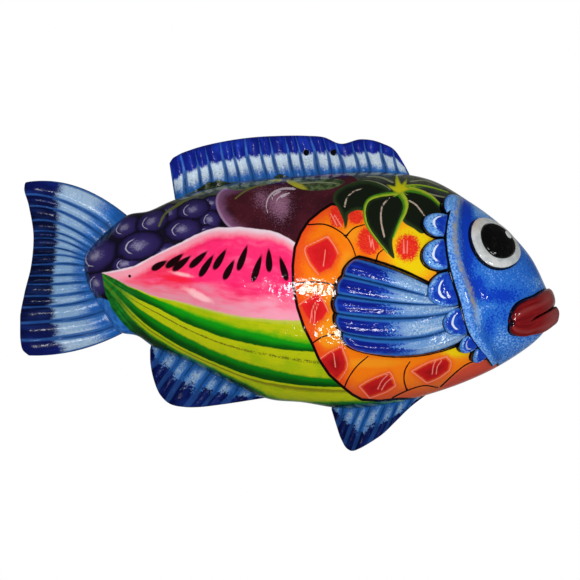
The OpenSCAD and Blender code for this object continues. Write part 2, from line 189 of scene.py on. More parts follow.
def slab(over, under, ring=False, pole=False):
    """Grids of the closed slab between an upper and a lower grid: both, and a strip along each
    border. A ring has no side borders, and a pole no strip along its first row."""
    grids = [over, under, np.stack([over[-1], under[-1]])]
    if not pole:
        grids.append(np.stack([over[0], under[0]]))
    if not ring:
        grids += [np.stack([over[:, 0], under[:, 0]]), np.stack([over[:, -1], under[:, -1]])]
    return grids


def quads_of(rows, columns, start=0):
    """Corners of the quads of a grid whose points are numbered row by row from a start."""
    ids = start + np.arange(rows * columns).reshape(rows, columns)
    corners = [ids[:-1, :-1], ids[:-1, 1:], ids[1:, 1:], ids[1:, :-1]]
    return np.stack(corners, -1).reshape(-1, 4)


def weld(name, grids, finishes, measures, inside_box=True):
    """One closed mesh from grids of points (rows, columns, 3). finishes gives each grid's material
    number, measures the attributes as one (rows, columns) array for each grid."""
    points = np.concatenate([g.reshape(-1, 3) for g in grids])
    if inside_box:
        points = np.clip(points, *(np.array(corner) for corner in cad_box))
    quads, slots, start = [], [], 0
    for grid, finish in zip(grids, finishes):
        rows, columns = grid.shape[:2]
        quads.append(quads_of(rows, columns, start))
        slots.append(np.full((rows - 1) * (columns - 1), finish))
        start += rows * columns
    quads, slots = np.concatenate(quads), np.concatenate(slots)
    mesh = bpy.data.meshes.new(name)
    mesh.vertices.add(len(points))
    mesh.vertices.foreach_set("co", points.ravel())
    mesh.loops.add(quads.size)
    mesh.loops.foreach_set("vertex_index", quads.ravel().astype(np.int32))
    mesh.polygons.add(len(quads))
    mesh.polygons.foreach_set("loop_start", np.arange(0, quads.size, 4, dtype=np.int32))
    mesh.polygons.foreach_set("material_index", slots.astype(np.int32))
    mesh.update(calc_edges=True)
    for label, values in measures.items():
        layer = mesh.attributes.new(label, "FLOAT", "POINT")
        flat = np.concatenate([np.ravel(v) for v in values])
        layer.data.foreach_set("value", flat.astype(np.float32))
    form = bmesh.new()
    form.from_mesh(mesh)
    bmesh.ops.remove_doubles(form, verts=form.verts, dist=MERGE)
    bmesh.ops.recalc_face_normals(form, faces=form.faces)
    form.to_mesh(mesh)
    form.free()
    mesh.shade_smooth()
    mesh.set_sharp_from_angle(angle=CREASE)
    piece = bpy.data.objects.new(name, mesh)
    bpy.context.scene.collection.objects.link(piece)
    return piece


def hand_over(piece, node, finishes):
    """Gives a piece its materials, fixes it to the fish and puts it in its solid's place."""
    for finish in finishes:
        piece.data.materials.append(finish)
    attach(piece, "root")
    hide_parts(node)
    print(piece.name, "has", sum(len(f.vertices) - 2 for f in piece.data.polygons), "triangles")


# %% [markdown]
# ## The painter's drawing grid
# The decoration is laid out on a flat grid in front of the fish, as a painter would pounce a paper
# pattern through onto the clay. One square is a little over half a millimetre, and the point midway
# between the hanging holes is at a known square. A painted shape is kept as a distance: how far
# each point of the surface is from the shape's outline, negative inside. A distance changes evenly
# from point to point, so a material can cut it off to a crisp edge that is finer than the mesh.

# %% Drawing grid and distances
SQUARE = 0.5545 * MM
HANG_SQUARE = (319.75, 153.85)


def squares(place):
    """Grid squares, to the right and down, of (x, z) seen from the front."""
    return np.stack([HANG_SQUARE[0] + place[..., 0] / SQUARE,
                     HANG_SQUARE[1] - place[..., 1] / SQUARE], -1)


def line_through(points, closed=False, per_gap=6):
    """Dense line through drawn points. In each gap it is the cubic whose end slopes are half the
    step between the neighbours on either side."""
    p = np.array(points, float)
    if closed:
        p = np.concatenate([p[-1:], p, p[:2]])
    else:
        p = np.concatenate([2 * p[:1] - p[1:2], p, 2 * p[-1:] - p[-2:-1]])
    a, b, c, d = (p[i:len(p) - 3 + i, None] for i in range(4))
    s = (np.arange(per_gap) / per_gap)[None, :, None]
    curve = 0.5 * (2 * b + (c - a) * s + (2 * a - 5 * b + 4 * c - d) * s ** 2
                   + (3 * b - a - 3 * c + d) * s ** 3)
    curve = curve.reshape(-1, 2)
    return curve if closed else np.concatenate([curve, p[-2:-1]])


def to_segments(at, line, closed):
    """For each point: distance to the nearest segment of a line, that segment's number, the place
    along it from 0 to 1, and the side, by the cross product, as +1 or -1."""
    a, b = (line, np.roll(line, -1, 0)) if closed else (line[:-1], line[1:])
    step = b - a
    off = at[:, None] - a
    s = np.clip((off * step).sum(2) / np.maximum((step * step).sum(1), 1e-12), 0, 1)
    apart = np.linalg.norm(off - s[..., None] * step, axis=2)
    i = apart.argmin(1)
    rows = np.arange(len(at))
    side = step[i, 0] * off[rows, i, 1] - step[i, 1] * off[rows, i, 0]
    return apart[rows, i], i, s[rows, i], np.where(side < 0, -1.0, 1.0)


def near(at, line, reach):
    """Which points lie within a reach of a line's own frame."""
    return np.all((at > line.min(0) - reach) & (at < line.max(0) + reach), axis=-1)


def from_outline(at, outline, reach=20.0):
    """Distance of points to a closed outline in squares, negative inside: the nearest segment gives
    the size, and the count of edges crossed by a ray to the right gives the sign."""
    out = np.full(at.shape[:-1], reach)
    close = near(at, outline, reach)
    p, a, b = at[close], outline, np.roll(outline, -1, 0)
    if len(p):
        size = to_segments(p, outline, True)[0]
        spans = (a[:, 1] > p[:, None, 1]) != (b[:, 1] > p[:, None, 1])
        rise = np.where(np.abs(b[:, 1] - a[:, 1]) < 1e-9, 1e-9, b[:, 1] - a[:, 1])
        crossing = a[:, 0] + (b[:, 0] - a[:, 0]) * (p[:, None, 1] - a[:, 1]) / rise
        inside = (spans & (p[:, None, 0] < crossing)).sum(1) % 2 == 1
        out[close] = np.where(inside, -size, np.minimum(size, reach))
    return out


def from_strokes(at, strokes, reach=6.0):
    """Distance to the nearest of several brush strokes, in half widths of the stroke, first with
    the side as sign and then without. A stroke is (points, half width at its start, at its end)."""
    signed, plain = np.full(at.shape[:-1], reach), np.full(at.shape[:-1], reach)
    for points, start, end in strokes:
        line = line_through(points)
        close = near(at, line, reach * max(start, end))
        if not close.any():
            continue
        size, i, s, side = to_segments(at[close], line, False)
        width = mix(start, end, (i + s) / (len(line) - 1))
        size = np.minimum(size / width, reach)
        better = size < plain[close]
        signed[close] = np.where(better, size * side, signed[close])
        plain[close] = np.where(better, size, plain[close])
    return signed, plain


print("one square is", SQUARE * 1000, "mm")

# %% [markdown]
# ## Paint pots
# A finish is a chain of paint layers: each layer has a mask from 0 to 1 and a colour, and covers
# what lies under it. The pots below only shorten the writing of such a chain. Colours are written
# as on a paint chart and are turned into light values here. Two noises make hand work believable: a
# fine grain, as an airbrush spits, and a broader unevenness, as a loaded brush leaves.

# %% Paint pots
def pigment(chart):
    """Light values of a chart colour such as #1746a3: the display curve undone in each channel."""
    c = np.array([int(chart[i:i + 2], 16) for i in (1, 3, 5)]) / 255
    return (*np.where(c <= 0.04045, c / 12.92, ((c + 0.055) / 1.055) ** 2.4), 1.0)


class Finish:
    """One fired and varnished finish: a material whose layers are added one over another."""

    def __init__(self, name):
        self.material = bpy.data.materials.new(name)
        self.material.use_nodes = True
        self.nodes, self.links = self.material.node_tree.nodes, self.material.node_tree.links
        self.shader = self.nodes["Principled BSDF"]
        self.place = self.nodes.new("ShaderNodeTexCoord").outputs["Object"]

    def feed(self, socket, value):
        """Links a node's output to a socket, or sets a chart colour or a number on it."""
        if isinstance(value, bpy.types.NodeSocket):
            self.links.new(value, socket)
        else:
            socket.default_value = pigment(value) if isinstance(value, str) else value

    def measure(self, name):
        """One of the piece's own measures, read back from its mesh."""
        node = self.nodes.new("ShaderNodeAttribute")
        node.attribute_name = name
        return node.outputs["Fac"]

    def math(self, kind, *values):
        """One sum or comparison of numbers."""
        node = self.nodes.new("ShaderNodeMath")
        node.operation = kind
        for socket, value in zip(node.inputs, values):
            self.feed(socket, value)
        return node.outputs[0]

    def step(self, value, start, end, low=0.0, high=1.0):
        """Smooth rise from low, where the value is start, to high, where it is end."""
        node = self.nodes.new("ShaderNodeMapRange")
        node.interpolation_type = "SMOOTHSTEP"
        for socket, v in zip(node.inputs, (value, start, end, low, high)):
            self.feed(socket, v)
        return node.outputs[0]

    def both(self, *masks):
        """Mask where all the masks hold: their product."""
        mask = masks[0]
        for other in masks[1:]:
            mask = self.math("MULTIPLY", mask, other)
        return mask

    def plus(self, value, *uneven):
        """A measure made uneven by pairs of a noise and an amount: each noise, about its middle and
        times its amount, is added to it."""
        for noise, amount in zip(uneven[::2], uneven[1::2]):
            lumps = self.math("MULTIPLY_ADD", noise, amount, -0.5 * amount)
            value = self.math("ADD", value, lumps)
        return value

    def off(self, value, line):
        """How far a value lies from a line, on either side: the size of their difference."""
        return self.math("ABSOLUTE", self.math("SUBTRACT", value, line))

    def noise(self, lump, detail=2.0, vector=None):
        """Cloudy noise, from 0 to 1 about 0.5, whose lumps measure `lump` metres."""
        node = self.nodes.new("ShaderNodeTexNoise")
        self.feed(node.inputs["Vector"], vector or self.place)
        self.feed(node.inputs["Scale"], 1.0 / lump)
        self.feed(node.inputs["Detail"], detail)
        self.feed(node.inputs["Roughness"], 0.55)
        return node.outputs["Fac"]

    def streaks(self, across, lengthways, detail=3.0):
        """Noise drawn out into streaks by two pairs of a measure and a rate: it changes fast with
        the one that has the high rate, and slowly with the other."""
        run = self.nodes.new("ShaderNodeCombineXYZ")
        for socket, (measure, rate) in zip(run.inputs, (across, lengthways)):
            self.feed(socket, self.math("MULTIPLY", measure, rate))
        return self.noise(1.0, detail, vector=run.outputs[0])

    def over(self, ground, mask, paint, strength=None):
        """The next layer: paint over the ground, as thick as the mask says, times a strength."""
        if strength is not None:
            mask = self.math("MULTIPLY", mask, strength)
        node = self.nodes.new("ShaderNodeMix")
        node.data_type = "RGBA"
        for number, value in ((0, mask), (6, ground), (7, paint)):
            self.feed(node.inputs[number], value)
        return node.outputs[2]

    def varnish(self, colour, sheen_grain, roughness=0.06, spread=0.06, waves=0.5, depth=0.7 * MM,
                fine=0.1, gloss=0.4):
        """Ends the chain: the colour, an uneven gloss, and the small waves of a poured varnish."""
        self.feed(self.shader.inputs["Base Color"], colour)
        self.shader.inputs["Specular IOR Level"].default_value = gloss
        uneven = self.step(sheen_grain, 0.3, 0.7, roughness, roughness + spread)
        self.feed(self.shader.inputs["Roughness"], uneven)
        bump = self.nodes.new("ShaderNodeBump")
        bump.inputs["Strength"].default_value = waves
        bump.inputs["Distance"].default_value = depth
        ripple = self.math("MULTIPLY", self.noise(1.4 * MM, 2.0), fine)
        self.feed(bump.inputs["Height"], self.math("ADD", self.noise(5 * MM, 2.0), ripple))
        self.feed(self.shader.inputs["Normal"], bump.outputs["Normal"])
        return self.material


print("royal blue in light values:", np.round(pigment("#1746a3"), 3).tolist())

# %% [markdown]
# ## Bare clay
# The back was never painted: it is the biscuit-fired red clay of the shell, matt and a little
# sandy, with paler dust in places. A photo of clay could be wrapped round it, but three noises of
# different size, for stain, sand and iron specks, have no seam and no repeat.

# %% Bare clay
def mix_clay():
    """Terracotta from a broad stain, a fine sand and dark iron specks."""
    clay = Finish("bare_clay")
    stain, sand = clay.noise(18 * MM, 4.0), clay.noise(0.9 * MM, 3.0)
    colour = clay.over("#a9623f", clay.step(stain, 0.35, 0.65), "#b97650")
    colour = clay.over(colour, clay.step(sand, 0.55, 0.75), "#c99672", 0.6)
    specks = clay.step(clay.noise(2.2 * MM, 1.0), 0.68, 0.74)
    colour = clay.over(colour, specks, "#7a3f28", 0.7)
    return clay.varnish(colour, sand, roughness=0.75, spread=0.15, waves=0.5, depth=0.2 * MM)


BARE_CLAY = mix_clay()
print("clay nodes:", len(BARE_CLAY.node_tree.nodes))

# %% [markdown]
# ## The raised pieces, seen from the front
# The gill edge, the fringe of lobes, the pectoral fin, the eye and the lips lie on the dome. Their
# places are worked out first, because the painter has run a black line round each of them on the
# body. Each is a grid of places in the wall's plane, which is then laid on the skin.

# %% Places of the raised pieces
EDGE_SHARE, EDGE_WIDTH = 0.2, 0.12
SUNK, TUCKED_IN, SLIP = -0.4 * MM, -1.2 * MM, 0.3 * MM
GILL = [[0, [0.800, 0.384]], [0.14, [0.783, 0.305]], [0.3, [0.773, 0.200]], [0.48, [0.781, 0.070]],
        [0.66, [0.801, -0.056]], [0.82, [0.826, -0.202]], [0.92, [0.860, -0.283]],
        [1, [0.882, -0.340]]]
LOBE_ENDS = [0.03, 0.165, 0.305, 0.482, 0.69, 0.808, 0.868, 0.922]
LOBE_SHARES = [0.45, 0.92, 0.93, 1.06, 0.86, 0.7, 0.6]
LOBE_REACH, LOBE_T, GILL_W, GILL_T = 16.5 * MM, 4 * MM, 12 * MM, 3.6 * MM
PECTORAL_ROOT, PECTORAL_LEN, PECTORAL_SPAN = (0.53, 0.826), 62 * MM, 51 * MM
PECTORAL_T, FLUTE, PECTORAL_RIBS = 6.5 * MM, 2.6 * MM, 5


def eased(d):
    """Thickness near a free edge, as a share: a quarter circle up to full at distance 1."""
    return EDGE_SHARE + (1 - EDGE_SHARE) * np.sqrt(1 - (1 - np.clip(d, 0, 1)) ** 2)


def edge_at(s):
    """Share of the thickness with one free edge, at s = 1."""
    return eased((1 - s) / EDGE_WIDTH)


def both_edges(s):
    """Share of the thickness with free edges at s = 0 and at s = 1."""
    return eased(np.minimum(s, 1 - s) / EDGE_WIDTH)


def swell(d):
    """Rise of a quarter sine, from nothing to full at distance 1."""
    return np.sin(np.pi / 2 * np.clip(d, 0, 1))


def crowded(count, power):
    """Numbers from 0 to 1, crowded towards 1: one less a power of even numbers from 1 to 0."""
    return 1 - (1 - np.linspace(0, 1, count + 1)) ** power


def wave(s):
    """Round crests, sharp valleys at whole numbers: the sine of s half turns, to the power 0.6."""
    return np.abs(np.sin(np.pi * s)) ** 0.6


def gill(g):
    """The gill edge from the back of the head, g = 0, down to the throat, g = 1."""
    return in_body(along(GILL, g))


def gill_back(g):
    """Unit direction square to the gill edge, towards the tail."""
    d = gill(np.minimum(g + 0.01, 1)) - gill(np.maximum(g - 0.01, 0))
    return np.stack([d[..., 1], -d[..., 0]], -1) / np.linalg.norm(d, axis=-1, keepdims=True)


def lobe_edge(k, s, out=0.0):
    """Outer edge of lobe k: the gill edge plus the lobe's reach times a flattened half sine."""
    g = mix(np.take(LOBE_ENDS, k), np.take(LOBE_ENDS, np.asarray(k) + 1), s)
    reach = out + LOBE_REACH * np.take(LOBE_SHARES, k) * np.sin(np.pi * np.clip(s, 0, 1)) ** 0.4
    return gill(g) + gill_back(g) * reach[..., None]


def lobe_place(k, s, v):
    """Lobe k across, s, and outwards, v: straight from just under the gill edge to its own edge."""
    g = mix(LOBE_ENDS[k], LOBE_ENDS[k + 1], s)
    return mix(gill(g) - gill_back(g) * MM, lobe_edge(k, s), v[..., None])


def fringe(g, out):
    """The outer edge of the whole fringe, lobe after lobe."""
    k = np.clip(np.searchsorted(LOBE_ENDS, g, side="right") - 1, 0, len(LOBE_SHARES) - 1)
    first, last = np.take(LOBE_ENDS, k), np.take(LOBE_ENDS, k + 1)
    return lobe_edge(k, (g - first) / (last - first), out)


def pectoral_place(w, v):
    """Pectoral fin across its ribs, w, and outwards, v: straight from the fringe to a fan of tips
    that is longest in the middle and scalloped by the ribs, with a sideways bow on the way."""
    root = fringe(mix(*PECTORAL_ROOT, w), TUCKED_IN)
    middle = fringe(np.array(PECTORAL_ROOT), SLIP).mean(0)
    fan = 0.73 + 0.03 * w + 0.19 * np.sin(np.pi * w) ** 0.7
    reach = PECTORAL_LEN * (fan + 0.03 * wave(PECTORAL_RIBS * w))
    tip = middle + np.stack([-reach, PECTORAL_SPAN * (0.62 - 0.98 * w)], -1)
    bow = mix(1.5, -5.0, w) * MM * 4 * v * (1 - v)
    return mix(root, tip, v[..., None]) + np.stack([np.zeros_like(bow), bow], -1)


def border(place, count=60):
    """Outline, in squares, of a place function of two numbers from 0 to 1, walked once round."""
    s, zero = np.linspace(0, 1, count, endpoint=False), np.zeros(count)
    a, b = np.concatenate([s, zero + 1, 1 - s, zero]), np.concatenate([zero, s, zero + 1, 1 - s])
    return squares(place(a, b))


PECTORAL_OUTLINE = border(pectoral_place)
span = np.ptp(PECTORAL_OUTLINE, axis=0) * SQUARE / MM
print("pectoral fin spans", np.round(span, 1).tolist(), "mm")

# %% [markdown]
# ### Eye and lips
# The eye is a round pad on a cheek that slopes away. Drawn as a circle from the front it would be
# stretched on the cheek, so it is set out along the skin itself, in steps forwards and upwards. The
# lips are each bounded by an outer line and by the mouth line, which both share.

# %% Places of the eye and the lips
EYE_AT = np.array([0.878, 0.181])
EYE_D, PUPIL_D, EYE_T, PUPIL_T = 33 * MM, 21.5 * MM, 3 * MM, 6 * MM
LIP_T, LIP_REACH, MOUTH_SEAM = 5 * MM, 25 * MM, 0.006
UPPER_LIP = [[0, [-0.13, 0.48]], [0.2, [-0.29, 0.415]], [0.4, [-0.467, 0.315]],
             [0.6, [-0.689, 0.233]], [0.75, [-0.844, 0.133]], [0.9, [-0.956, -0.044]],
             [1, [-0.99, -0.2]]]
LOWER_LIP = [[0, [-0.08, -0.3]], [0.2, [-0.311, -0.45]], [0.45, [-0.578, -0.51]],
             [0.68, [-0.822, -0.54]], [0.8, [-0.95, -0.5]], [0.9, [-1, -0.42]], [1, [-0.99, -0.27]]]
MOUTH = [[0, [-0.015, 0.089]], [0.2, [-0.133, 0.033]], [0.4, [-0.31, -0.055]],
         [0.65, [-0.578, -0.167]], [0.85, [-0.8, -0.211]], [1, [-0.975, -0.233]]]
EYE_U, EYE_TURN = round_from(in_body(EYE_AT))
per_u = (bare_skin(EYE_U + 0.01, EYE_TURN) - bare_skin(EYE_U - 0.01, EYE_TURN)) / 0.02
per_turn = (bare_skin(EYE_U, EYE_TURN + 0.02) - bare_skin(EYE_U, EYE_TURN - 0.02)) / 0.04
forward = per_u / np.linalg.norm(per_u)
upward = np.cross(skin_normal(EYE_U, EYE_TURN), forward)


def eye_point(r, a, lift):
    """Point of the eye at radius r and angle a: steps along and round the skin from the centre,
    scaled so that the eye is round on the sloping cheek and not as seen from the front."""
    turn = r * np.sin(a) / (per_turn @ upward)
    ahead = (r * np.cos(a) - turn * (per_turn @ forward)) / np.linalg.norm(per_u)
    return skin(EYE_U + ahead, EYE_TURN + turn, lift)


def eye_radius(u, t):
    """Radius about the eye's centre of points of the skin: the same steps, taken backwards."""
    turn, ahead = t - EYE_TURN, u - EYE_U
    forwards = ahead * np.linalg.norm(per_u) + turn * (per_turn @ forward)
    return np.hypot(turn * (per_turn @ upward), forwards)


def grown_together(s):
    """0 from the muzzle to half way back, then a squared quarter sine up to 1 at three quarters."""
    return swell((s - 0.5) / 0.25) ** 2


def lip_place(edge, seam):
    """Place function of a lip: s from the muzzle to the corner, q from outer edge to mouth line."""
    top, bottom = edges_at(np.array(1.0))
    front = np.array([TAIL_X + BODY_LEN, (top + bottom) / 2])

    def place(s, q):
        """Straight from the outer edge to the mouth line, parted up to where the lips join."""
        apart = seam * (1 - grown_together(s))
        inner = along(MOUTH, s) + np.stack([0 * s, apart], -1)
        return front + LIP_REACH * mix(along(edge, s), inner, q[..., None])
    return place


LIPS = {"upper_lip": lip_place(UPPER_LIP, MOUTH_SEAM),
        "lower_lip": lip_place(LOWER_LIP, -MOUTH_SEAM)}
LOBE_OUTLINES = [border(lambda s, v, k=k: lobe_place(k, s, v)) for k in range(len(LOBE_SHARES))]
print("the eye sits at", np.round(bare_skin(EYE_U, EYE_TURN), 4).tolist())

# %% [markdown]
# ## The body's mesh
# The outside runs from the wall up the band, over the dome and down to the wall again. The inside
# is the same skin one wall thickness further in, and a flat rim joins the two on the wall. The
# stations are spread half evenly along the fish and half by angle, so the painted middle is finely
# divided and the two round ends stay smooth.

# %% Body grids
STATIONS, TURNS, INNER_TURNS = 360, 196, 56
spread = np.linspace(0, 1, STATIONS + 1)
u_rows = station(0.45 * (1 - np.cos(np.pi * spread)) / 2 + 0.55 * spread)[:, None]


def shell_grid(lift, turn_count, foot_steps):
    """Grid of the skin at one depth: the foot of the upper edge, the band, the dome from edge to
    edge, and the band and foot of the lower edge. Both end rows close to one point each."""
    t = np.linspace(0, np.pi, turn_count + 1)[None]
    dome = skin(u_rows, t, np.full((STATIONS + 1, turn_count + 1), lift))
    for row, sign in ((0, -1), (-1, 1)):
        dome[row] = bare_skin(u_rows[row, 0], 0.0) + np.array([sign * lift, 0, 0])
    fall = np.arange(foot_steps) / foot_steps
    first, last = (np.repeat(dome[:, e, None], foot_steps, 1) for e in (0, -1))
    first[..., 1] *= fall
    last[..., 1] *= fall[::-1]
    turns = np.concatenate([0 * fall, t[0], 0 * fall + np.pi])
    return np.concatenate([first, dome, last], 1), turns


outside, outside_turn = shell_grid(0.0, TURNS, 4)
inside, _ = shell_grid(-WALL, INNER_TURNS, 1)
rims = [np.stack([outside[:, end], inside[:, end]]) for end in (0, -1)]
body_grids = [outside, inside] + rims
at = squares(outside[..., [0, 2]])
print("outside grid", outside.shape[:2], "inside grid", inside.shape[:2])

# %% [markdown]
# ## Fruit on the body: the drawn outlines
# Grapes, a plum, a slice of melon and a pineapple with its crown: common fruit-bowl ornament of
# folk pottery. A picture could be projected on the dome, but it would blur and stretch, so each
# shape is a handful of drawn points in grid squares, measured against all points of the outside at
# once. A grape is a tilted oval: its measure is the distance from its middle in its own half axes,
# and a later grape covers an earlier one.

# %% Grapes
GRAPES = [(212, 204, 13, 8, 12), (211, 221, 11, 11, 0), (171, 213, 10, 9, 35), (208, 234, 12, 9, 0),
          (127, 264, 16, 9, 15), (165, 252, 14, 9, 25), (98, 284, 12.5, 14, 0),
          (98, 256, 23, 16, 35), (126, 227.5, 16.5, 11, 30), (153, 222, 18, 11.5, 25),
          (194, 210, 17.5, 10.5, 15), (141, 246, 25, 14.5, 15), (184, 230, 19.5, 12, 8)]
paint = {"grape": np.full(at.shape[:-1], 1.6), "grape_side": np.zeros(at.shape[:-1]),
         "grape_bloom": np.zeros(at.shape[:-1])}


def in_oval(x, y, long, short, tilt):
    """Places along and across an oval, in its half axes. It rises to the right by the tilt."""
    c, s = np.cos(np.radians(tilt)), np.sin(np.radians(tilt))
    right, down = at[..., 0] - x, at[..., 1] - y
    return (right * c - down * s) / long, (right * s + down * c) / short


for oval in GRAPES:
    a, b = in_oval(*oval)
    size = np.hypot(a, b)
    on_top = (size < 1.0) | (size < paint["grape"])
    paint["grape"] = np.where(on_top, size, paint["grape"])
    paint["grape_side"] = np.where(on_top, a + 0.25 * b, paint["grape_side"])
    bloom = np.exp(-((a + 0.06) / 0.42) ** 2 - ((b + 0.05) / 0.42) ** 2)
    paint["grape_bloom"] = np.where(on_top, bloom, paint["grape_bloom"])
print(len(GRAPES), "grapes")

# %% [markdown]
# ### Plum
# A dark plum lies under the back fin, with a dusty bloom and two loose leaves over it. Plum and
# leaves are closed lines through drawn points. The bloom has no edge, so it is a sum of soft ovals.

# %% Plum and the leaves above it
PLUM = [(231, 229), (222, 219), (217, 208), (216.5, 199), (220, 192), (228, 187), (240, 183.5),
        (255, 181), (280, 178.5), (345, 173), (360, 200), (330, 245), (290, 255), (250, 240)]
TOP_LEAVES = [[(226, 188), (238, 182), (254, 178.5), (272, 177.5), (283, 180), (272, 184.5),
               (256, 187.5), (240, 191)],
              [(286, 181.5), (296, 178.5), (314, 178), (332, 179), (344, 182), (338, 187),
               (326, 190.5), (312, 191.5), (300, 189.5), (292, 186)]]
PLUM_BLOOM = [(280, 205, 11, 16, 1), (261, 199, 8, 12, 0.6)]
LEAF_TIP = (296, 185.5)


def soft_ovals(spots, ovals):
    """Sum of soft ovals (x, y, half width, half height, strength), each its strength times the
    exponential of minus the squared distance in half axes."""
    x, y = spots[..., 0], spots[..., 1]
    return sum(k * np.exp(-((x - a) / c) ** 2 - ((y - b) / d) ** 2) for a, b, c, d, k in ovals)


paint["plum"] = from_outline(at, line_through(PLUM, closed=True), reach=30.0)
paint["plum_bloom"] = soft_ovals(at, PLUM_BLOOM)
paint["top_leaf"] = np.minimum(*(from_outline(at, line_through(p, True)) for p in TOP_LEAVES))
right, down = at[..., 0] - LEAF_TIP[0], at[..., 1] - LEAF_TIP[1]
paint["leaf_tip"] = np.minimum(np.hypot(right / 12, (down - 0.4 * right) / 3.6),
                               np.hypot((right + 20) / 8, (down + 5) / 1.8))
print("plum and", len(TOP_LEAVES), "leaves")

# %% [markdown]
# ### Melon slice
# The slice is a stack of bands: flesh, then light and dark rind in turn. Each could be an outline
# of its own, but neighbours would then leave gaps. Instead the borders between the bands are drawn
# from left to right, and one measure counts through them: 0 on the first border, 1 on the second,
# and so on, with shares of a band in between.

# %% Melon slice
MELON_LINES = {
    "top": [(90, 277), (103, 273), (117, 270.5), (136, 266), (152, 257.5), (169, 249), (182, 243),
            (195, 236), (208, 230.6), (219, 228), (230, 228.2), (240, 227.5), (250, 228.7),
            (260, 230), (270, 231), (279, 234), (289, 239), (294.4, 243), (350, 265)],
    "flesh end": [(90, 268), (104, 273.5), (110, 276), (120, 281), (130, 286.5), (140, 290),
                  (150, 294.5), (160, 297.5), (170, 299.5), (182, 302), (201, 307), (220, 312),
                  (239, 316), (260, 318), (279, 319.6), (298, 320), (350, 320)],
    "band 1 top": [(90, 268.4), (104, 274), (110, 276.5), (120, 281), (130, 286.5), (140, 290.8),
                   (150, 295.6), (160, 299.8), (170, 304), (182, 309), (201, 316.6), (220, 322.4),
                   (239, 328.4), (260, 332.8), (279, 337.4), (300, 342), (350, 344)],
    "band 1 low": [(90, 269), (104, 275), (112, 282), (120, 287.5), (130, 293.5), (140, 299.3),
                   (150, 304), (160, 308.5), (170, 314), (180, 319.4), (190, 324.3), (201, 328.6),
                   (220, 335.7), (240, 340.8), (260, 345.2), (280, 348.4), (308, 350.6),
                   (350, 351)],
    "brown": [(90, 270), (104, 276), (112, 282.8), (120, 289.2), (130, 296.8), (140, 303),
              (150, 308.6), (160, 313.7), (170, 319.2), (182, 325.6), (201, 334.4), (220, 341.8),
              (240, 348), (260, 352.4), (280, 355.8), (300, 359.2), (310, 360.6), (350, 362)],
    "band 2 top": [(90, 271), (104, 277), (112, 283.6), (120, 290), (130, 299.4), (140, 308.2),
                   (150, 314.8), (160, 321), (170, 327.4), (180, 333), (190, 338.3), (200, 343.4),
                   (220, 352.4), (240, 360), (260, 366), (280, 370.8), (300, 374.8), (320, 377.2),
                   (350, 380)],
    "band 2 low": [(90, 274), (104, 280), (112, 288.6), (120, 297.4), (130, 308.4), (140, 318.2),
                   (150, 326.4), (160, 333.2), (170, 339.5), (180, 345.4), (190, 350.5),
                   (200, 355.3), (220, 364), (240, 371.8), (260, 377.8), (280, 381.8), (300, 384.6),
                   (320, 386), (350, 386.5)],
    "olive": [(90, 275), (104, 281.5), (113, 290.7), (120, 299.6), (130, 311.6), (140, 321.2),
              (150, 329.5), (160, 336.2), (170, 342.4), (180, 348.2), (190, 353.3), (200, 358.2),
              (220, 366.6), (240, 374.8), (260, 380.8), (280, 384.2), (303, 387.2), (329, 389),
              (350, 390)],
    "low edge": [(90, 276), (104, 283), (113, 293), (120, 302.2), (130, 314.8), (140, 324.3),
                 (150, 332.6), (160, 339.2), (170, 345.3), (180, 351), (190, 356), (200, 360.7),
                 (220, 370.2), (240, 379.6), (250, 384.4), (260, 389.6), (268, 394), (280, 397.8),
                 (300, 400.5), (350, 400)]}
MELON_SPAN, LAST_BAND = (92, 348), 12
melon_x = np.clip(at[..., 0], *MELON_SPAN)
lines = [along([[x, y] for x, y in line], melon_x) for line in MELON_LINES.values()]
paint["melon_band"] = (sum(np.clip((at[..., 1] - a) / np.maximum(b - a, 0.6), 0, 1)
                           for a, b in zip(lines, lines[1:]))
                       + np.clip((at[..., 1] - lines[-1]) / LAST_BAND, 0, 1))
MELON_SLICE = MELON_LINES["top"][1:] + [(352, 395), (430, 395), (430, 430), (150, 430),
                                        (151, 343.5), (139, 336), (130, 330), (121, 320),
                                        (112.4, 308), (106.5, 293.5), (104, 279)]
paint["melon"] = from_outline(at, np.array(MELON_SLICE, float), reach=30.0)
paint["melon_down"] = at[..., 1] - lines[0]
paint["across_square"] = at[..., 0]
PALE_STREAKS = [(183, 274.5, 17, 2.8, -12), (196, 293, 20, 4.5, -25)]
FAINT_STREAKS = [(205, 299, 12, 3, -20), (270, 277, 10, 1.2, -25)]


def tilted_patch(*oval):
    """Soft patch on a tilted oval, 1 in its middle."""
    a, b = in_oval(*oval)
    return np.exp(-a ** 2 - b ** 2)


paint["melon_streak"] = (sum(tilted_patch(*oval) for oval in PALE_STREAKS)
                         + 0.5 * sum(tilted_patch(*oval) for oval in FAINT_STREAKS))
paint["melon_red"] = tilted_patch(176, 279, 26, 4, -10)
SEEDS = [(153, 270, 168, 261), (167, 268, 184.5, 254), (174, 271, 192, 256),
         (190.5, 268, 208.5, 251.5), (200.5, 277, 214.5, 255), (214.5, 270, 227, 249.5),
         (224.5, 280, 235, 260), (238.5, 271, 248, 245.5), (253, 282, 262, 255),
         (269.5, 272.5, 269, 249), (287, 281, 280, 257), (129.6, 276.5, 132.4, 276)]
SEED_W, SMALL_SEED_W = 3.1, 1.6
paint["seed"] = np.full(at.shape[:-1], 10.0)
for x0, y0, x1, y1 in SEEDS:
    middle, half = np.array([x0 + x1, y0 + y1]) / 2, np.array([x1 - x0, y1 - y0]) / 2
    long = np.linalg.norm(half)
    a = (at - middle) @ half / long ** 2
    b = (at - middle) @ np.array([-half[1], half[0]]) / long
    wide = SEED_W * (1 - 0.4 * np.clip(a, -1, 1)) if long > 3 else SMALL_SEED_W
    paint["seed"] = np.minimum(paint["seed"], (np.hypot(a, b / wide) - 1) * wide)
print(len(SEEDS), "seeds in the melon")

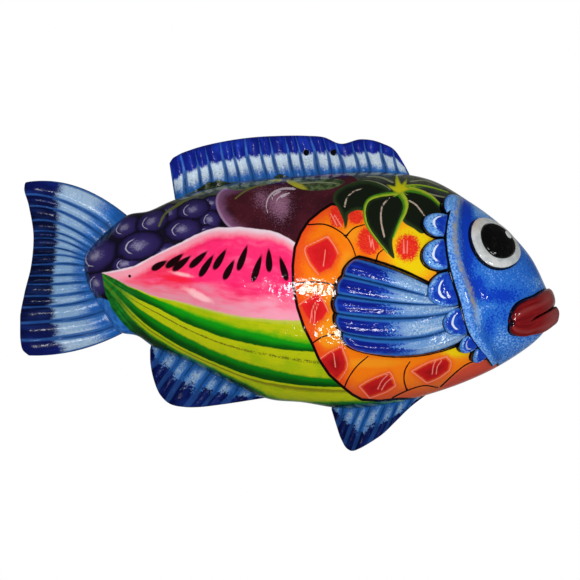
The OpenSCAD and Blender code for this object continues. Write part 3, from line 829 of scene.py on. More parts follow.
# %% [markdown]
# ### Pineapple
# An orange field with red eyes, thin pink lines round them, and dark lines between the scales. The
# eyes are plain polygons, because the brush left them straight sided. The lines are open strokes,
# with a half width at each end.

# %% Pineapple
PINEAPPLE = [(331, 204), (320, 211), (308, 221), (300, 233), (294, 248), (292, 266), (292.5, 286),
             (296.6, 307.5), (303, 327), (311.5, 344), (318, 359), (328, 374), (340, 385),
             (351, 394), (361, 399.5), (379.5, 401), (399, 399), (430, 400), (520, 390), (520, 220),
             (440, 212), (400, 200), (365, 200), (345, 206)]
DIAMONDS = [[(327, 238.5), (316, 243.8), (307, 248), (306, 252), (310.5, 263), (319, 273.5),
             (331, 268), (337, 256.5), (333.5, 247)],
            [(316.5, 293.5), (307.5, 299.5), (300.5, 305), (306, 316), (313, 324), (322, 319),
             (327.5, 310), (323, 301.5)],
            [(340.5, 347), (329.5, 352), (320, 359), (326, 369.5), (336, 378), (344.5, 369),
             (345.5, 361)],
            [(388, 372.5), (370, 380), (360.5, 386), (369, 396), (385, 390), (393.3, 384.6)],
            [(444.5, 357.5), (427, 363), (412.5, 370.7), (426, 381), (437, 376.8), (446.8, 369.5),
             (448, 362)]]
LOW_RED = [(444, 388), (448, 379), (457, 371), (469, 363.5), (482, 360), (500, 358), (510, 380),
           (470, 392)]
SPOTS = [(406, 248, 12, 14), (368, 241, 12, 14), (337, 217, 8, 12), (355, 218, 8, 7)]
SUNNY = [(408, 245, 34, 34, 1), (400, 272, 44, 14, 1), (455, 350, 26, 13, 1), (328, 316, 13, 26, 1),
         (333, 338, 14, 9, 1), (352, 234, 12, 9, 1), (370, 362, 40, 6, 1), (346, 264, 8, 14, 1)]
LEMON = [(412, 252, 26, 30, 1), (456, 349, 20, 9, 0.8)]
paint["pineapple"] = from_outline(at, np.array(PINEAPPLE, float), reach=30.0)
paint["diamond"] = np.minimum.reduce([from_outline(at, np.array(d, float)) for d in DIAMONDS])
paint["low_red"] = from_outline(at, line_through(LOW_RED, True))
paint["spot"] = np.minimum.reduce([np.hypot(*in_oval(*spot, 0)) for spot in SPOTS])
paint["sunny"] = np.clip(soft_ovals(at, SUNNY), 0, 1)
paint["lemon"] = np.clip(soft_ovals(at, LEMON), 0, 1)
SCALE_LINES = [[(308, 225.5), (323, 225), (335, 229.6), (345, 237), (351, 246), (354.6, 256)],
               [(345, 237), (353, 229), (363, 225.5)], [(375, 261), (377, 254.5), (382, 250)],
               [(293, 284), (310, 282), (328, 283.5), (341, 288)],
               [(311.5, 343), (321.5, 336.5), (334, 333.5)],
               [(343, 389), (348, 377), (356, 365.5), (367, 355.6)],
               [(406, 390), (403, 379), (404, 369), (408.5, 361)],
               [(392, 397), (406, 390), (422.6, 385), (437, 387)],
               [(440, 386), (456, 370.5), (469, 362), (490, 358)]]
PINK_LINES = [[(327, 237), (316, 242.3), (306, 246.8)],
              [(306, 246.8), (304.6, 251.5), (309, 263), (318.5, 275.5)],
              [(327, 237), (333.5, 246), (337.5, 254)], [(298.5, 305), (306.5, 299), (316.5, 292)],
              [(316.5, 292), (323, 301), (328, 312)], [(318.5, 359), (329.5, 351), (341, 345.5)],
              [(341, 345.5), (346.5, 361), (345.5, 369), (339, 379)],
              [(358.5, 385.5), (370, 378.5), (388.5, 371)],
              [(388.5, 371), (392, 376.5), (394.8, 385)],
              [(394.8, 385), (385, 391.5), (369, 397.5)], [(369, 397.5), (358.5, 385.5)],
              [(410.5, 370.5), (427, 361.5), (445, 356)], [(445, 356), (449.5, 362), (448, 370)],
              [(448, 370), (437, 378), (426, 382.5)], [(426, 382.5), (410.5, 370.5)],
              [(323, 266), (325, 250)], [(310, 322), (312, 309), (315, 302)],
              [(314, 322), (315, 312), (318, 304)], [(335, 366), (333, 352)],
              [(377, 388), (381, 380), (387, 374)], [(381, 389), (385, 382), (391, 377)],
              [(431, 373), (432, 365), (435, 359)], [(435, 373), (436, 366), (440, 360)],
              [(402, 254), (402, 240)], [(405.5, 254), (406, 241)], [(370, 248), (368, 236)],
              [(373, 250), (371, 239)], [(341, 227), (334, 216)], [(336, 226), (330, 214)]]


def add_strokes(name, strokes):
    """Measures the strokes of one kind on the body, with the side as sign and as plain distance."""
    paint[name], paint[name + "_reach"] = from_strokes(at, strokes)


add_strokes("scale_line", [(points, 0.85, 0.65) for points in SCALE_LINES])
add_strokes("pink_line", [(points, 0.64, 0.5) for points in PINK_LINES])
print(len(DIAMONDS) + len(SPOTS), "eyes on the pineapple")

# %% [markdown]
# ### Crown
# Three dark leaves hang from a yellow star. Their bright edges are strokes that thin out, as one
# pull of a pointed brush does, so each stroke has a half width at its start and at its end.

# %% Pineapple crown
CROWN = [[(389, 191), (376, 183.5), (361, 181.5), (345, 186), (335, 193), (333, 201.5), (338, 210),
          (343, 222), (344.5, 231), (347, 222), (348, 215), (356, 211), (364, 211), (370, 201),
          (382, 196)],
         [(398, 193.5), (380, 196), (368, 200.5), (363, 211), (366, 226), (376, 241), (386, 253),
          (393, 259), (391, 246), (392, 238), (399, 223), (404, 210), (404, 200)],
         [(400, 190), (416, 191), (431, 198), (443, 211), (450, 216), (432, 220), (422, 234),
          (412, 229), (401, 221), (403, 205)]]
STAR = [(398, 195), (391, 191), (386, 185.5), (394, 187), (395, 180), (396, 171), (398.5, 181),
        (401, 185), (407, 178), (405, 187), (411, 190), (404, 192.5)]
CROWN_STROKES = {
    "leaf_edge": [([(402, 190), (416, 191.5), (431, 198.5), (443, 211)], 3.4, 1.3),
                  ([(396, 194), (380, 196), (368, 200.5), (363.5, 211), (366, 226), (376, 241),
                    (386, 253)], 2.0, 0.8),
                  ([(399, 194), (404, 203), (403.5, 212), (398, 224), (392, 238)], 3.6, 1.1),
                  ([(404, 187), (416, 186), (430, 188), (447, 193)], 1.4, 0.7)],
    "grey_edge": [([(388, 190), (378, 184.5), (366, 182), (352, 184)], 1.6, 0.8),
                  ([(420, 192), (434, 196), (449, 199)], 0.9, 0.7),
                  ([(392, 183), (380, 178), (366, 177)], 1.0, 0.6),
                  ([(410, 182), (424, 181), (438, 186)], 0.8, 0.5),
                  ([(300, 184), (318, 183), (336, 184)], 0.9, 0.5)],
    "vein": [([(344, 208), (346, 200), (352, 193), (361, 189.5)], 0.9, 0.6),
             ([(383, 237), (380, 222), (381, 208), (388, 199)], 0.9, 0.8),
             ([(408, 201.5), (415, 206), (423, 216.5)], 0.9, 0.7)]}
paint["crown"] = np.minimum.reduce([from_outline(at, line_through(p, True)) for p in CROWN])
paint["star"] = from_outline(at, np.array(STAR, float))
for name, strokes in CROWN_STROKES.items():
    add_strokes(name, strokes)
print(len(CROWN), "dark leaves in the crown")

# %% [markdown]
# ### Loose strokes
# A few quick marks finish the fruit: olive stems, white glints on the plum and a mauve line along
# the back. They have no closed shape, so only the distance to the middle of the stroke is kept.

# %% Loose brush strokes
LOOSE = {
    "olive": [([(160, 226), (166, 214), (176, 207), (188, 199.5), (201, 194), (223, 186)],
               1.1, 2.0),
              ([(236, 199), (245, 192), (256, 187), (266, 184.5)], 0.8, 1.2),
              ([(220, 190), (230, 185), (242, 181)], 1.2, 0.7)],
    "glint": [([(294, 189.5), (284, 189.3), (275, 192), (269, 198), (266.5, 206), (268, 214)],
               1.25, 0.35),
              ([(289, 194), (282, 196), (277, 201), (276.5, 207)], 0.75, 0.4),
              ([(282, 198), (286, 196)], 0.6, 0.6),
              ([(280, 192.5), (274, 196.5), (271.5, 203)], 0.6, 0.3)],
    "mauve": [([(240, 183), (253, 180.5), (268, 178.5), (285, 176.8), (315, 175.2), (345, 174)],
               0.8, 1.3)]}
for name, strokes in LOOSE.items():
    add_strokes(name, strokes)
print(sum(len(strokes) for strokes in LOOSE.values()), "loose strokes")

# %% [markdown]
# ## Head, outlines and the shading of the edges
# The head is airbrushed in several blues, so its tone is a soft field: deep patches behind the gill
# ridge and under the eye, pale ones along the back and the jaw, and one short pale streak on the
# cheek that is a painted highlight. The black outlines follow the raised pieces, so they come from
# those pieces' own borders.

# %% Head and outlines
gill_line = squares(gill(np.linspace(0, 1, 60)))
beyond = gill_line[-1] + np.array([6.0, 12.0])
HEAD = np.concatenate([[(468.0, 178.0)], gill_line, [beyond, (620.0, 420.0), (620.0, 150.0)]])
DEEP = [(465, 245, 7, 42, 1.3), (476, 288, 8, 18, 1.1), (495, 297, 17, 8, 0.75),
        (508, 294, 18, 8, 0.5), (487, 328, 6, 14, 0.8), (534, 262, 10, 12, 0.35),
        (466, 212, 5, 14, 0.9), (502, 316, 7, 9, 0.5)]
# Pale ovals of the head; the one at (488, 305) is a painted highlight, a short glint streak on the
# cheek.
PALE = [(488, 305, 7, 3, 0.7), (473, 306, 6, 10, 0.7), (482, 272, 12, 8, 0.45),
        (500, 345, 30, 8, 0.2), (520, 340, 26, 6, 0.2), (474, 318, 6, 14, 0.8),
        (482, 210, 12, 8, 0.6), (537, 284, 8, 8, 0.5), (498, 334, 10, 10, 0.3)]


def head_field(spots):
    """Tone of the airbrushed head: soft ovals of deep blue, less soft ovals of pale blue."""
    return soft_ovals(spots, DEEP) - soft_ovals(spots, PALE)


paint["head"] = from_outline(at, HEAD, reach=30.0)
paint["head_tone"] = head_field(at)
s = np.linspace(0, 1, 40)
upper, lower = (squares(place(s, 0 * s)) for place in LIPS.values())
MUZZLE = np.concatenate([upper[::-1], [upper[0] + (30, -8), lower[0] + (30, 8)], lower])
mouth_start = squares(LIPS["upper_lip"](np.array(0.1), np.array(1.0)))
MUZZLE_FRONT = [mouth_start, mouth_start + (8, -2.5), mouth_start + (20, -4)]
paint["eye_outline"] = (eye_radius(u_rows, outside_turn) - EYE_D / 2) / SQUARE
paint["fine_outline"] = np.minimum.reduce([from_outline(at, o, reach=6.0) for o in LOBE_OUTLINES])
paint["lips"] = from_outline(at, MUZZLE, reach=6.0)
add_strokes("mouth", [(MUZZLE_FRONT, 1.2, 1.2)])
paint["bold_outline"] = from_outline(at, PECTORAL_OUTLINE, reach=6.0)
TAIL_WASH = [(60, 262), (84, 272), (87, 290), (94, 297), (103, 298), (120, 305), (170, 335),
             (170, 420), (40, 420)]
paint["tail_wash"] = from_outline(at, np.array(TAIL_WASH, float))
paint["edge_turn"] = np.broadcast_to(np.minimum(outside_turn, np.pi - outside_turn), at.shape[:-1])
paint["below_top"] = at[..., 1] - at[:, :1, 1]
print(len(paint), "painted measures on", at[..., 0].size, "points")

# %% [markdown]
# ## Painting the body
# The layers go on as the painter worked: ground first, then the fruit from back to front, then the
# leaves, the head, and the black outlines last. One material holds all of them, because the paints
# lap over each other. Each fruit is a function that takes the painting so far and gives it back
# with one fruit more.

# %% Ground, grapes and plum
body = Finish("painted_body")
grain, brush, wash = body.noise(0.75 * MM, 2.0), body.noise(3.5 * MM, 3.0), body.noise(14 * MM, 2.0)


def stroke(finish, name, uneven=0.0, noise=None):
    """Mask of the brush strokes of one kind: inside the half width, and cut off at the ends by the
    plain distance."""
    side = finish.math("ABSOLUTE", finish.measure(name))
    if noise is not None:
        side = finish.plus(side, noise, uneven)
    ends = finish.step(finish.measure(name + "_reach"), 1.9, 1.3)
    return finish.both(finish.step(side, 1.15, 0.75), ends)


def paint_ground(f):
    """Aubergine black, turning to a grey olive under the back fin, and the tail's blue lapped over
    the lower edge near the tail."""
    across = f.measure("across_square")
    near_top = f.step(f.plus(f.measure("below_top"), brush, 10.0), 17.0, 3.0)
    top = f.both(near_top, f.step(across, 140.0, 185.0))
    ground = f.over("#0b0814", f.step(wash, 0.4, 0.65), "#171223")
    ground = f.over(ground, top, f.over("#3a4236", f.step(brush, 0.42, 0.62), "#555b4a"))
    tailward = f.both(f.step(f.measure("tail_wash"), 0.6, -0.6), f.step(across, 160.0, 150.0))
    return f.over(ground, tailward, f.over("#1a59ac", f.step(brush, 0.4, 0.65), "#2f78cb"))


def paint_grapes(f, colour):
    """Violet ovals, dark at the rim, with a pale bloom and one thin white arc each."""
    size = f.plus(f.measure("grape"), brush, 0.26)
    skin_tone = f.over("#0f0a1e", f.step(size, 1.0, 0.66), "#291f52")
    skin_tone = f.over(skin_tone, f.step(size, 0.72, 0.1), "#3a306a")
    bloom = f.step(f.plus(f.measure("grape_bloom"), brush, 0.9, grain, 0.8), 0.4, 1.25)
    skin_tone = f.over(skin_tone, bloom, "#a09bb4", 0.75)
    ring = f.step(f.off(f.plus(f.measure("grape"), brush, 0.16), 0.56), 0.04, 0.01)
    one_side = f.step(f.measure("grape_side"), -0.22, -0.42)
    arc = f.both(ring, one_side, f.step(f.measure("grape"), 0.9, 0.75))
    skin_tone = f.over(skin_tone, arc, "#cfcddb", 0.6)
    return f.over(colour, f.step(size, 1.04, 0.97), skin_tone)


def paint_plum(f, colour):
    """Maroon, with a mauve rim on the tail side and a speckled bloom round the glint."""
    d, bloom = f.measure("plum"), f.measure("plum_bloom")
    tone = f.over("#33101a", f.step(wash, 0.35, 0.7), "#481722")
    tailward = f.step(f.measure("across_square"), 262.0, 226.0)
    rim_glow = f.step(f.plus(d, brush, 5.0, grain, 4.0), -13.0, -2.0)
    tone = f.over(tone, f.both(rim_glow, tailward), "#7c4f74")
    tone = f.over(tone, f.both(f.step(f.plus(d, brush, 1.2), -3.2, -1.2), tailward), "#a585a6", 0.7)
    tone = f.over(tone, f.step(f.plus(bloom, grain, 1.7), 0.15, 0.9), "#8f617c", 0.9)
    tone = f.over(tone, f.step(f.plus(bloom, grain, 1.2), 0.85, 1.5), "#b797a8", 0.6)
    tone = f.over(tone, stroke(f, "glint", 1.7, grain), "#d3c3cc", 0.7)
    colour = f.over(colour, f.step(d, 0.6, -0.6), tone)
    leaf = f.over("#2c381f", f.step(brush, 0.4, 0.62), "#5a6b44")
    leaf = f.over(leaf, f.step(f.plus(f.measure("leaf_tip"), brush, 0.8), 1.15, 0.5), "#aaa62c")
    colour = f.over(colour, f.step(f.measure("top_leaf"), 0.5, -0.5), leaf)
    return f.over(colour, stroke(f, "mauve", 0.9, brush), "#9d80ac")


def paint_stems(f, colour):
    """Olive strokes, and a dark seam where the back fin stands on the body: dark leaf paint lapped
    over the joint and painted shade under the fin.
    """
    colour = f.over(colour, stroke(f, "olive", 1.2, brush), "#62652f", 0.9)
    across = f.measure("across_square")
    # Dark seam at the fin's foot: dark leaf paint, and painted shade under the fin.
    seam = f.step(f.plus(f.measure("below_top"), brush, 5.0), 2.4, 0.6)
    seam = f.both(seam, f.step(across, 180.0, 200.0), f.step(across, 420.0, 395.0), 0.8)
    return f.over(colour, seam, "#0f140e")


colour = paint_ground(body)
for paint_fruit in (paint_grapes, paint_plum, paint_stems):
    colour = paint_fruit(body, colour)
print("layers so far:", len(body.nodes), "nodes")

# %% [markdown]
# ### Melon
# The colours of the slice were pulled lengthways with a wet brush. Even noise would look sprayed,
# so it is drawn out: it changes slowly along the slice and fast from band to band. The count of
# the bands then says which green comes where, with a little noise for a hand-painted border.

# %% Melon
def melon_flesh(f, drawn):
    """Hot pink, redder in one place, paler towards the rind, the tip and the cut, with seeds."""
    band, down = f.measure("melon_band"), f.measure("melon_down")
    across = f.measure("across_square")
    flesh = f.over("#f4385f", f.step(f.plus(across, wash, 40.0), 165.0, 215.0), "#fb2b70")
    flesh = f.over(flesh, f.step(f.plus(drawn, brush, 0.4), 0.5, 0.75), "#f9568a", 0.65)
    flesh = f.over(flesh, f.step(f.plus(drawn, brush, 0.5), 0.46, 0.28), "#e41c55", 0.5)
    red = f.step(f.plus(f.measure("melon_red"), wash, 0.4), 0.3, 0.9)
    flesh = f.over(flesh, red, "#f31f3c", 0.9)
    flesh = f.over(flesh, f.step(across, 155.0, 105.0), "#f08ea2", 0.75)
    pale_end = f.step(f.plus(band, drawn, 0.5, wash, 0.12), 0.6, 1.0)
    pale = f.over("#da90a2", f.step(across, 200.0, 285.0), "#f0a2b8")
    flesh = f.over(flesh, pale_end, pale, 0.9)
    light = f.step(f.plus(f.measure("melon_streak"), brush, 0.5), 0.35, 1.05)
    flesh = f.over(flesh, light, "#fbbfc4", 0.85)
    cut = f.step(f.plus(down, brush, 5.0, wash, 5.0), 13.0, 5.0)
    flesh = f.over(flesh, cut, "#f2a3b4", 0.85)
    white_edge = f.step(across, 160.0, 240.0, 2.4, 7.0)
    flesh = f.over(flesh, f.step(f.plus(down, brush, 2.0), white_edge, 0.8), "#e6cfdb")
    return f.over(flesh, f.step(f.measure("seed"), 0.5, -0.4), "#170306")


def melon_rind(f, drawn):
    """Yellow green with two bands that darken downwards, brown threads and a dark lowest edge."""
    band, across = f.measure("melon_band"), f.measure("across_square")
    rind = f.over("#b4bd0c", f.step(wash, 0.4, 0.7), "#9db408")
    rind = f.over(rind, f.step(f.plus(drawn, brush, 0.7), 0.5, 0.72), "#84a806", 0.4)
    rind = f.over(rind, f.step(band, 1.3, 1.0), "#c9c66c", 0.5)
    uneven = f.plus(band, brush, 0.22)
    bright = f.both(f.step(f.plus(uneven, drawn, 0.3), 1.6, 1.98), f.step(uneven, 2.9, 2.6), 0.9)
    rind = f.over(rind, bright, "#54ab06")
    first = f.both(f.step(uneven, 1.88, 2.14), f.step(uneven, 3.1, 2.94))
    deep = f.over("#0f9210", f.step(f.plus(band, wash, 0.6), 2.2, 2.85), "#06520a")
    rind = f.over(rind, first, f.over(deep, f.step(across, 175.0, 120.0), "#0a4512"))
    off_line = f.off(f.plus(band, brush, 0.12), 4.0)
    speck = f.both(f.step(off_line, 0.17, 0.05), f.step(f.plus(grain, brush, 0.6), 0.44, 0.56))
    thread = f.both(f.step(off_line, 0.12, 0.03), f.step(across, 262.0, 215.0), 0.6)
    rind = f.over(rind, thread, "#6a5c12")
    rind = f.over(rind, speck, "#4d4210", 0.8)
    second = f.both(f.step(uneven, 4.84, 5.1), f.step(uneven, 6.1, 5.95))
    deep = f.over("#0b7a10", f.step(f.plus(band, wash, 0.6), 5.15, 5.75), "#064609")
    rind = f.over(rind, second, deep)
    thread = f.step(f.off(f.plus(band, brush, 0.3), 7.0), 0.34, 0.1)
    rind = f.over(rind, thread, "#6c6412", 0.75)
    low = f.over("#237a1a", f.step(f.plus(uneven, wash, 0.3), 8.05, 8.4), "#07300f")
    rind = f.over(rind, f.step(uneven, 7.85, 8.15), low)
    tip_green = f.over("#0c4a15", f.step(f.plus(drawn, brush, 0.4), 0.4, 0.65), "#1f8a2a")
    tip = f.step(f.plus(across, brush, 14.0), 146.0, 118.0)
    return f.over(rind, tip, tip_green, 0.85)


def paint_melon(f, colour):
    """Flesh above the first border between the bands and rind below it, inside the outline."""
    band = f.measure("melon_band")
    drawn = f.streaks((f.measure("across_square"), 0.035), (band, 9.0), 2.0)
    below = f.step(f.plus(band, brush, 0.08), 0.97, 1.05)
    slice_tone = f.over(melon_flesh(f, drawn), below, melon_rind(f, drawn))
    return f.over(colour, f.step(f.plus(f.measure("melon"), brush, 1.0), 0.6, -0.6), slice_tone)


colour = paint_melon(body, colour)
print("with the melon:", len(body.nodes), "nodes")

# %% [markdown]
# ### Pineapple and crown
# The pineapple was sprayed, and a sprayed border is soft and full of specks. A blur would only be
# soft, so a fine grain is added to the distance before it is cut off. The leaves of the crown were
# brushed on top, with borders that waver but are clean.

# %% Pineapple and crown
def paint_pineapple(f, colour):
    """Orange, red towards its outline, yellow in the sun, with red eyes, pink and dark lines, and
    painted shade where the dome turns away.
    """
    d, diamond, turn = f.measure("pineapple"), f.measure("diamond"), f.measure("edge_turn")
    red = f.step(f.plus(d, wash, 12.0, grain, 16.0), -17.0, -2.0)
    tone = f.over("#f47a0c", red, "#e74a18")
    sunny = f.step(f.plus(f.measure("sunny"), grain, 0.4, wash, 0.3), 0.25, 0.9)
    tone = f.over(tone, sunny, "#f29418", 0.85)
    tone = f.over(tone, f.step(f.plus(f.measure("lemon"), grain, 0.3), 0.2, 0.7), "#eac90a")
    # Duller, darker red where the dome turns away to its edges: painted shade.
    tone = f.over(tone, f.step(f.plus(turn, wash, 0.4), 0.75, 0.2), "#c65a3a", 0.8)
    low_red = f.step(f.plus(f.measure("low_red"), grain, 3.0), 2.5, -2.0)
    tone = f.over(tone, low_red, "#c9423a", 0.85)
    spot = f.step(f.plus(f.measure("spot"), grain, 0.9, brush, 0.3), 1.2, 0.75)
    tone = f.over(tone, spot, f.over("#dd261c", f.step(grain, 0.5, 0.65), "#e84826"))
    halo = f.both(f.step(f.plus(diamond, grain, 8.0), 7.0, -0.5), 0.72)
    tone = f.over(tone, halo, "#e2441c")
    # The eyes darken where the dome turns away to its edges: painted shade.
    low = f.step(turn, 1.2, 0.9)
    eye = f.over(f.over("#d91d22", low, "#bd171a"), f.step(f.plus(diamond, wash, 6.0), -2.0, -9.0),
                 f.over("#cc161a", low, "#9c0e11"))
    tone = f.over(tone, f.step(f.plus(diamond, grain, 3.0), 0.9, -1.6), eye)
    tone = f.over(tone, stroke(f, "pink_line", 0.9, grain), "#f58d7c", 0.75)
    tone = f.over(tone, stroke(f, "scale_line", 0.5, brush), "#1f0905")
    tone = f.over(tone, f.step(f.off(d, -0.6), 1.9, 1.2), "#0e0405")
    return f.over(colour, f.step(d, 1.0, 0.4), tone)


def paint_crown(f, colour):
    """Nearly black leaves with brighter green edges, pale broken veins and a yellow star."""
    colour = f.over(colour, stroke(f, "grey_edge", 0.7, brush), "#8b9070", 0.8)
    leaf = f.over("#11180e", f.step(f.plus(f.measure("crown"), brush, 3.0), -5.0, -0.3), "#26391c")
    colour = f.over(colour, f.step(f.measure("crown"), 0.6, -0.4), leaf)
    broken = f.both(stroke(f, "vein", 1.0, grain), f.step(brush, 0.4, 0.5))
    colour = f.over(colour, broken, "#b8a595", 0.9)
    green = f.over("#3f7d14", f.step(f.plus(f.measure("leaf_edge"), brush, 0.8), 0.6, -0.5),
                   "#9db128")
    colour = f.over(colour, stroke(f, "leaf_edge", 0.6, brush), green)
    star = f.over("#c7bf12", f.step(f.measure("star"), -2.2, -0.4), "#9aa51c")
    return f.over(colour, f.step(f.plus(f.measure("star"), brush, 2.4), 0.7, -0.9), star)


colour = paint_crown(body, paint_pineapple(body, colour))
print("with the pineapple:", len(body.nodes), "nodes")

# %% [markdown]
# ### Head and outlines
# Three blues are sprayed into each other on the head, so its soft tone is cut off twice with much
# grain. The black lines come last, as on the real fish. They hide where a raised piece meets the
# body. Then the shell gets its paint outside and bare clay inside and on the rim.

# %% Head and black outlines
AIR_GRAIN, OUTLINE_BLACK = 1.0 * MM, "#04060d"


def airbrushed_blue(f, tone, grain):
    """Pale, middle and deep blue by a tone from -1 to 1, each spat into the next as fine specks."""
    spat = f.plus(tone, grain, 2.8)
    blue = f.over("#286bca", f.step(spat, -0.1, -0.9), "#80b2ec")
    return f.over(blue, f.step(spat, 0.15, 0.8), "#0b3ab6")


def paint_head(f, colour):
    """Airbrushed blue in front of the gill line, paler and duller where the dome turns away, which
    is a painted reflection of the pale surround.
    """
    turn = f.measure("edge_turn")
    # Paler tone and a grey blue where the dome turns away: painted reflection at the turning edges.
    tone = f.math("SUBTRACT", f.measure("head_tone"), f.step(turn, 0.75, 0.2, 0.0, 0.4))
    blue = airbrushed_blue(f, tone, f.noise(AIR_GRAIN, 2.0))
    blue = f.over(blue, f.step(turn, 0.4, 0.0), "#7a90c4", 0.35)
    return f.over(colour, f.step(f.measure("head"), 0.4, -0.4), blue)


def outlined(f, colour, name, uneven, start, full):
    """Black line round a piece: its distance, made uneven by the brush, and cut off."""
    line = f.step(f.plus(f.measure(name), brush, uneven), start, full)
    return f.over(colour, line, OUTLINE_BLACK)


def paint_outlines(f, colour):
    """Lines round the lobes, the pectoral fin and the lips, red between the lips, the mouth and
    gill lines, and the line round the eye."""
    colour = outlined(f, colour, "fine_outline", 0.7, 1.5, 0.9)
    colour = outlined(f, colour, "bold_outline", 0.9, 2.6, 1.9)
    colour = outlined(f, colour, "lips", 0.5, 1.4, 0.9)
    colour = f.over(colour, f.step(f.measure("lips"), 0.0, -0.5), "#841218")
    colour = f.over(colour, stroke(f, "mouth"), "#1c0204")
    colour = f.over(colour, f.step(f.off(f.measure("head"), -0.5), 1.5, 0.9), OUTLINE_BLACK)
    return outlined(f, colour, "eye_outline", 0.4, 0.9, 0.4)


def on_all_grids(v):
    """A measure of the outside for all the shell's grids: one number inside, edges on the rims."""
    rims = [np.stack([v[:, end]] * 2) for end in (0, -1)]
    return [v, np.full(inside.shape[:2], v.flat[0])] + rims


colour = paint_outlines(body, paint_head(body, colour))
PAINTED_BODY = body.varnish(colour, brush, roughness=0.045, fine=0.14)
measures = {name: on_all_grids(v) for name, v in paint.items()}
shell = weld("fish_body", body_grids, [0, 1, 1, 1], measures)
hand_over(shell, "body_shell", [PAINTED_BODY, BARE_CLAY])

# %% [markdown]
# ## Fins on the wall
# Tail, back fin and the two belly fins are flat slabs with combed rays. The grooves could be a bump
# in the material, but they show on the free edges and catch the light, so they are cut into the
# points. A ray is a straight run from the body's edge to the fin's free edge. Across the rays the
# thickness falls in sharp grooves, as a modelling tool leaves them, and it rounds off at the free
# edges. The paint is the same on all four: navy at the tips, a pale speckled band, and middle blue
# at the root, with the grooves wiped in blue. It is mixed twice, because the varnish lies thinner
# on the belly fins.

# %% Fin blades
FIN_T, GROOVE, BACK_GAP, BARE = 7 * MM, 1.8 * MM, 0.15 * MM, -1.0


def rim(signed_station, out):
    """(x, z) of the body's edge, pushed outwards: top edge for negative stations, else bottom."""
    a = np.asarray(signed_station, float)
    p = skin(np.abs(a), np.where(a < 0, 0.0, np.pi), np.full(a.shape, out))
    return p[..., [0, 2]]


def closed_piece(name, front, back, measures, back_finish=0, **kind):
    """Piece between a front and a back grid. Points behind each other have the same measures."""
    grids = slab(front, back, **kind)
    finishes = [0, back_finish] + [0] * (len(grids) - 2)
    return weld(name, grids, finishes, {n: slab(m, m, **kind) for n, m in measures.items()})


def fin_blade(name, root, tip, bow, rays, bands, patchy, thin=0.8, spread=None, per_ray=14,
              rows=48):
    """Closed blade: place = root to tip, straight, plus a sideways bow; depth = thickness, thinning
    a little outwards, less the groove between rays, and rounded at the free edges. Two small sines
    make the rays uneven in width and let them wander, as combed by hand; spread can set the widths
    knot by knot instead. The back is flat, just clear of the body's foot. bands gives, ray by ray,
    where the pale band and then the navy start, how bright the paint is, and how far the body's
    green laps up."""
    w = np.linspace(0, 1, rays * per_ray + 1)
    V, W = np.meshgrid(crowded(rows, 1.5), w, indexing="ij")
    place = mix(root(w), tip(w), V[..., None]) + bow(w) * (4 * V * (1 - V))[..., None]
    ray = along(spread, W) if spread else rays * W + 0.1 * np.sin(2.6 * rays * W)
    ray = ray + 0.035 * np.sin(7 * V + 11 * W)
    cut = GROOVE * (1 - wave(ray)) * np.minimum(V / 0.2, 1)
    depth = (FIN_T * mix(1.0, thin, V) - cut) * edge_at(V) * both_edges(W)
    front = np.stack([place[..., 0], -depth, place[..., 1]], -1)
    back = np.stack([place[..., 0], 0 * depth - BACK_GAP, place[..., 1]], -1)
    ridge = np.abs(np.sin(np.pi * ray))
    pale_from, navy_from, bright, lap = bands(W)
    measures = {"tip": V - navy_from + 0.05 * ridge, "root": V - pale_from, "ray": ray, "out": V,
                "groove": 1 - ridge, "bright": np.broadcast_to(bright, V.shape), "lap": lap - V,
                "patchy": np.full(V.shape, patchy)}
    return closed_piece(name, front, back, measures, back_finish=1)


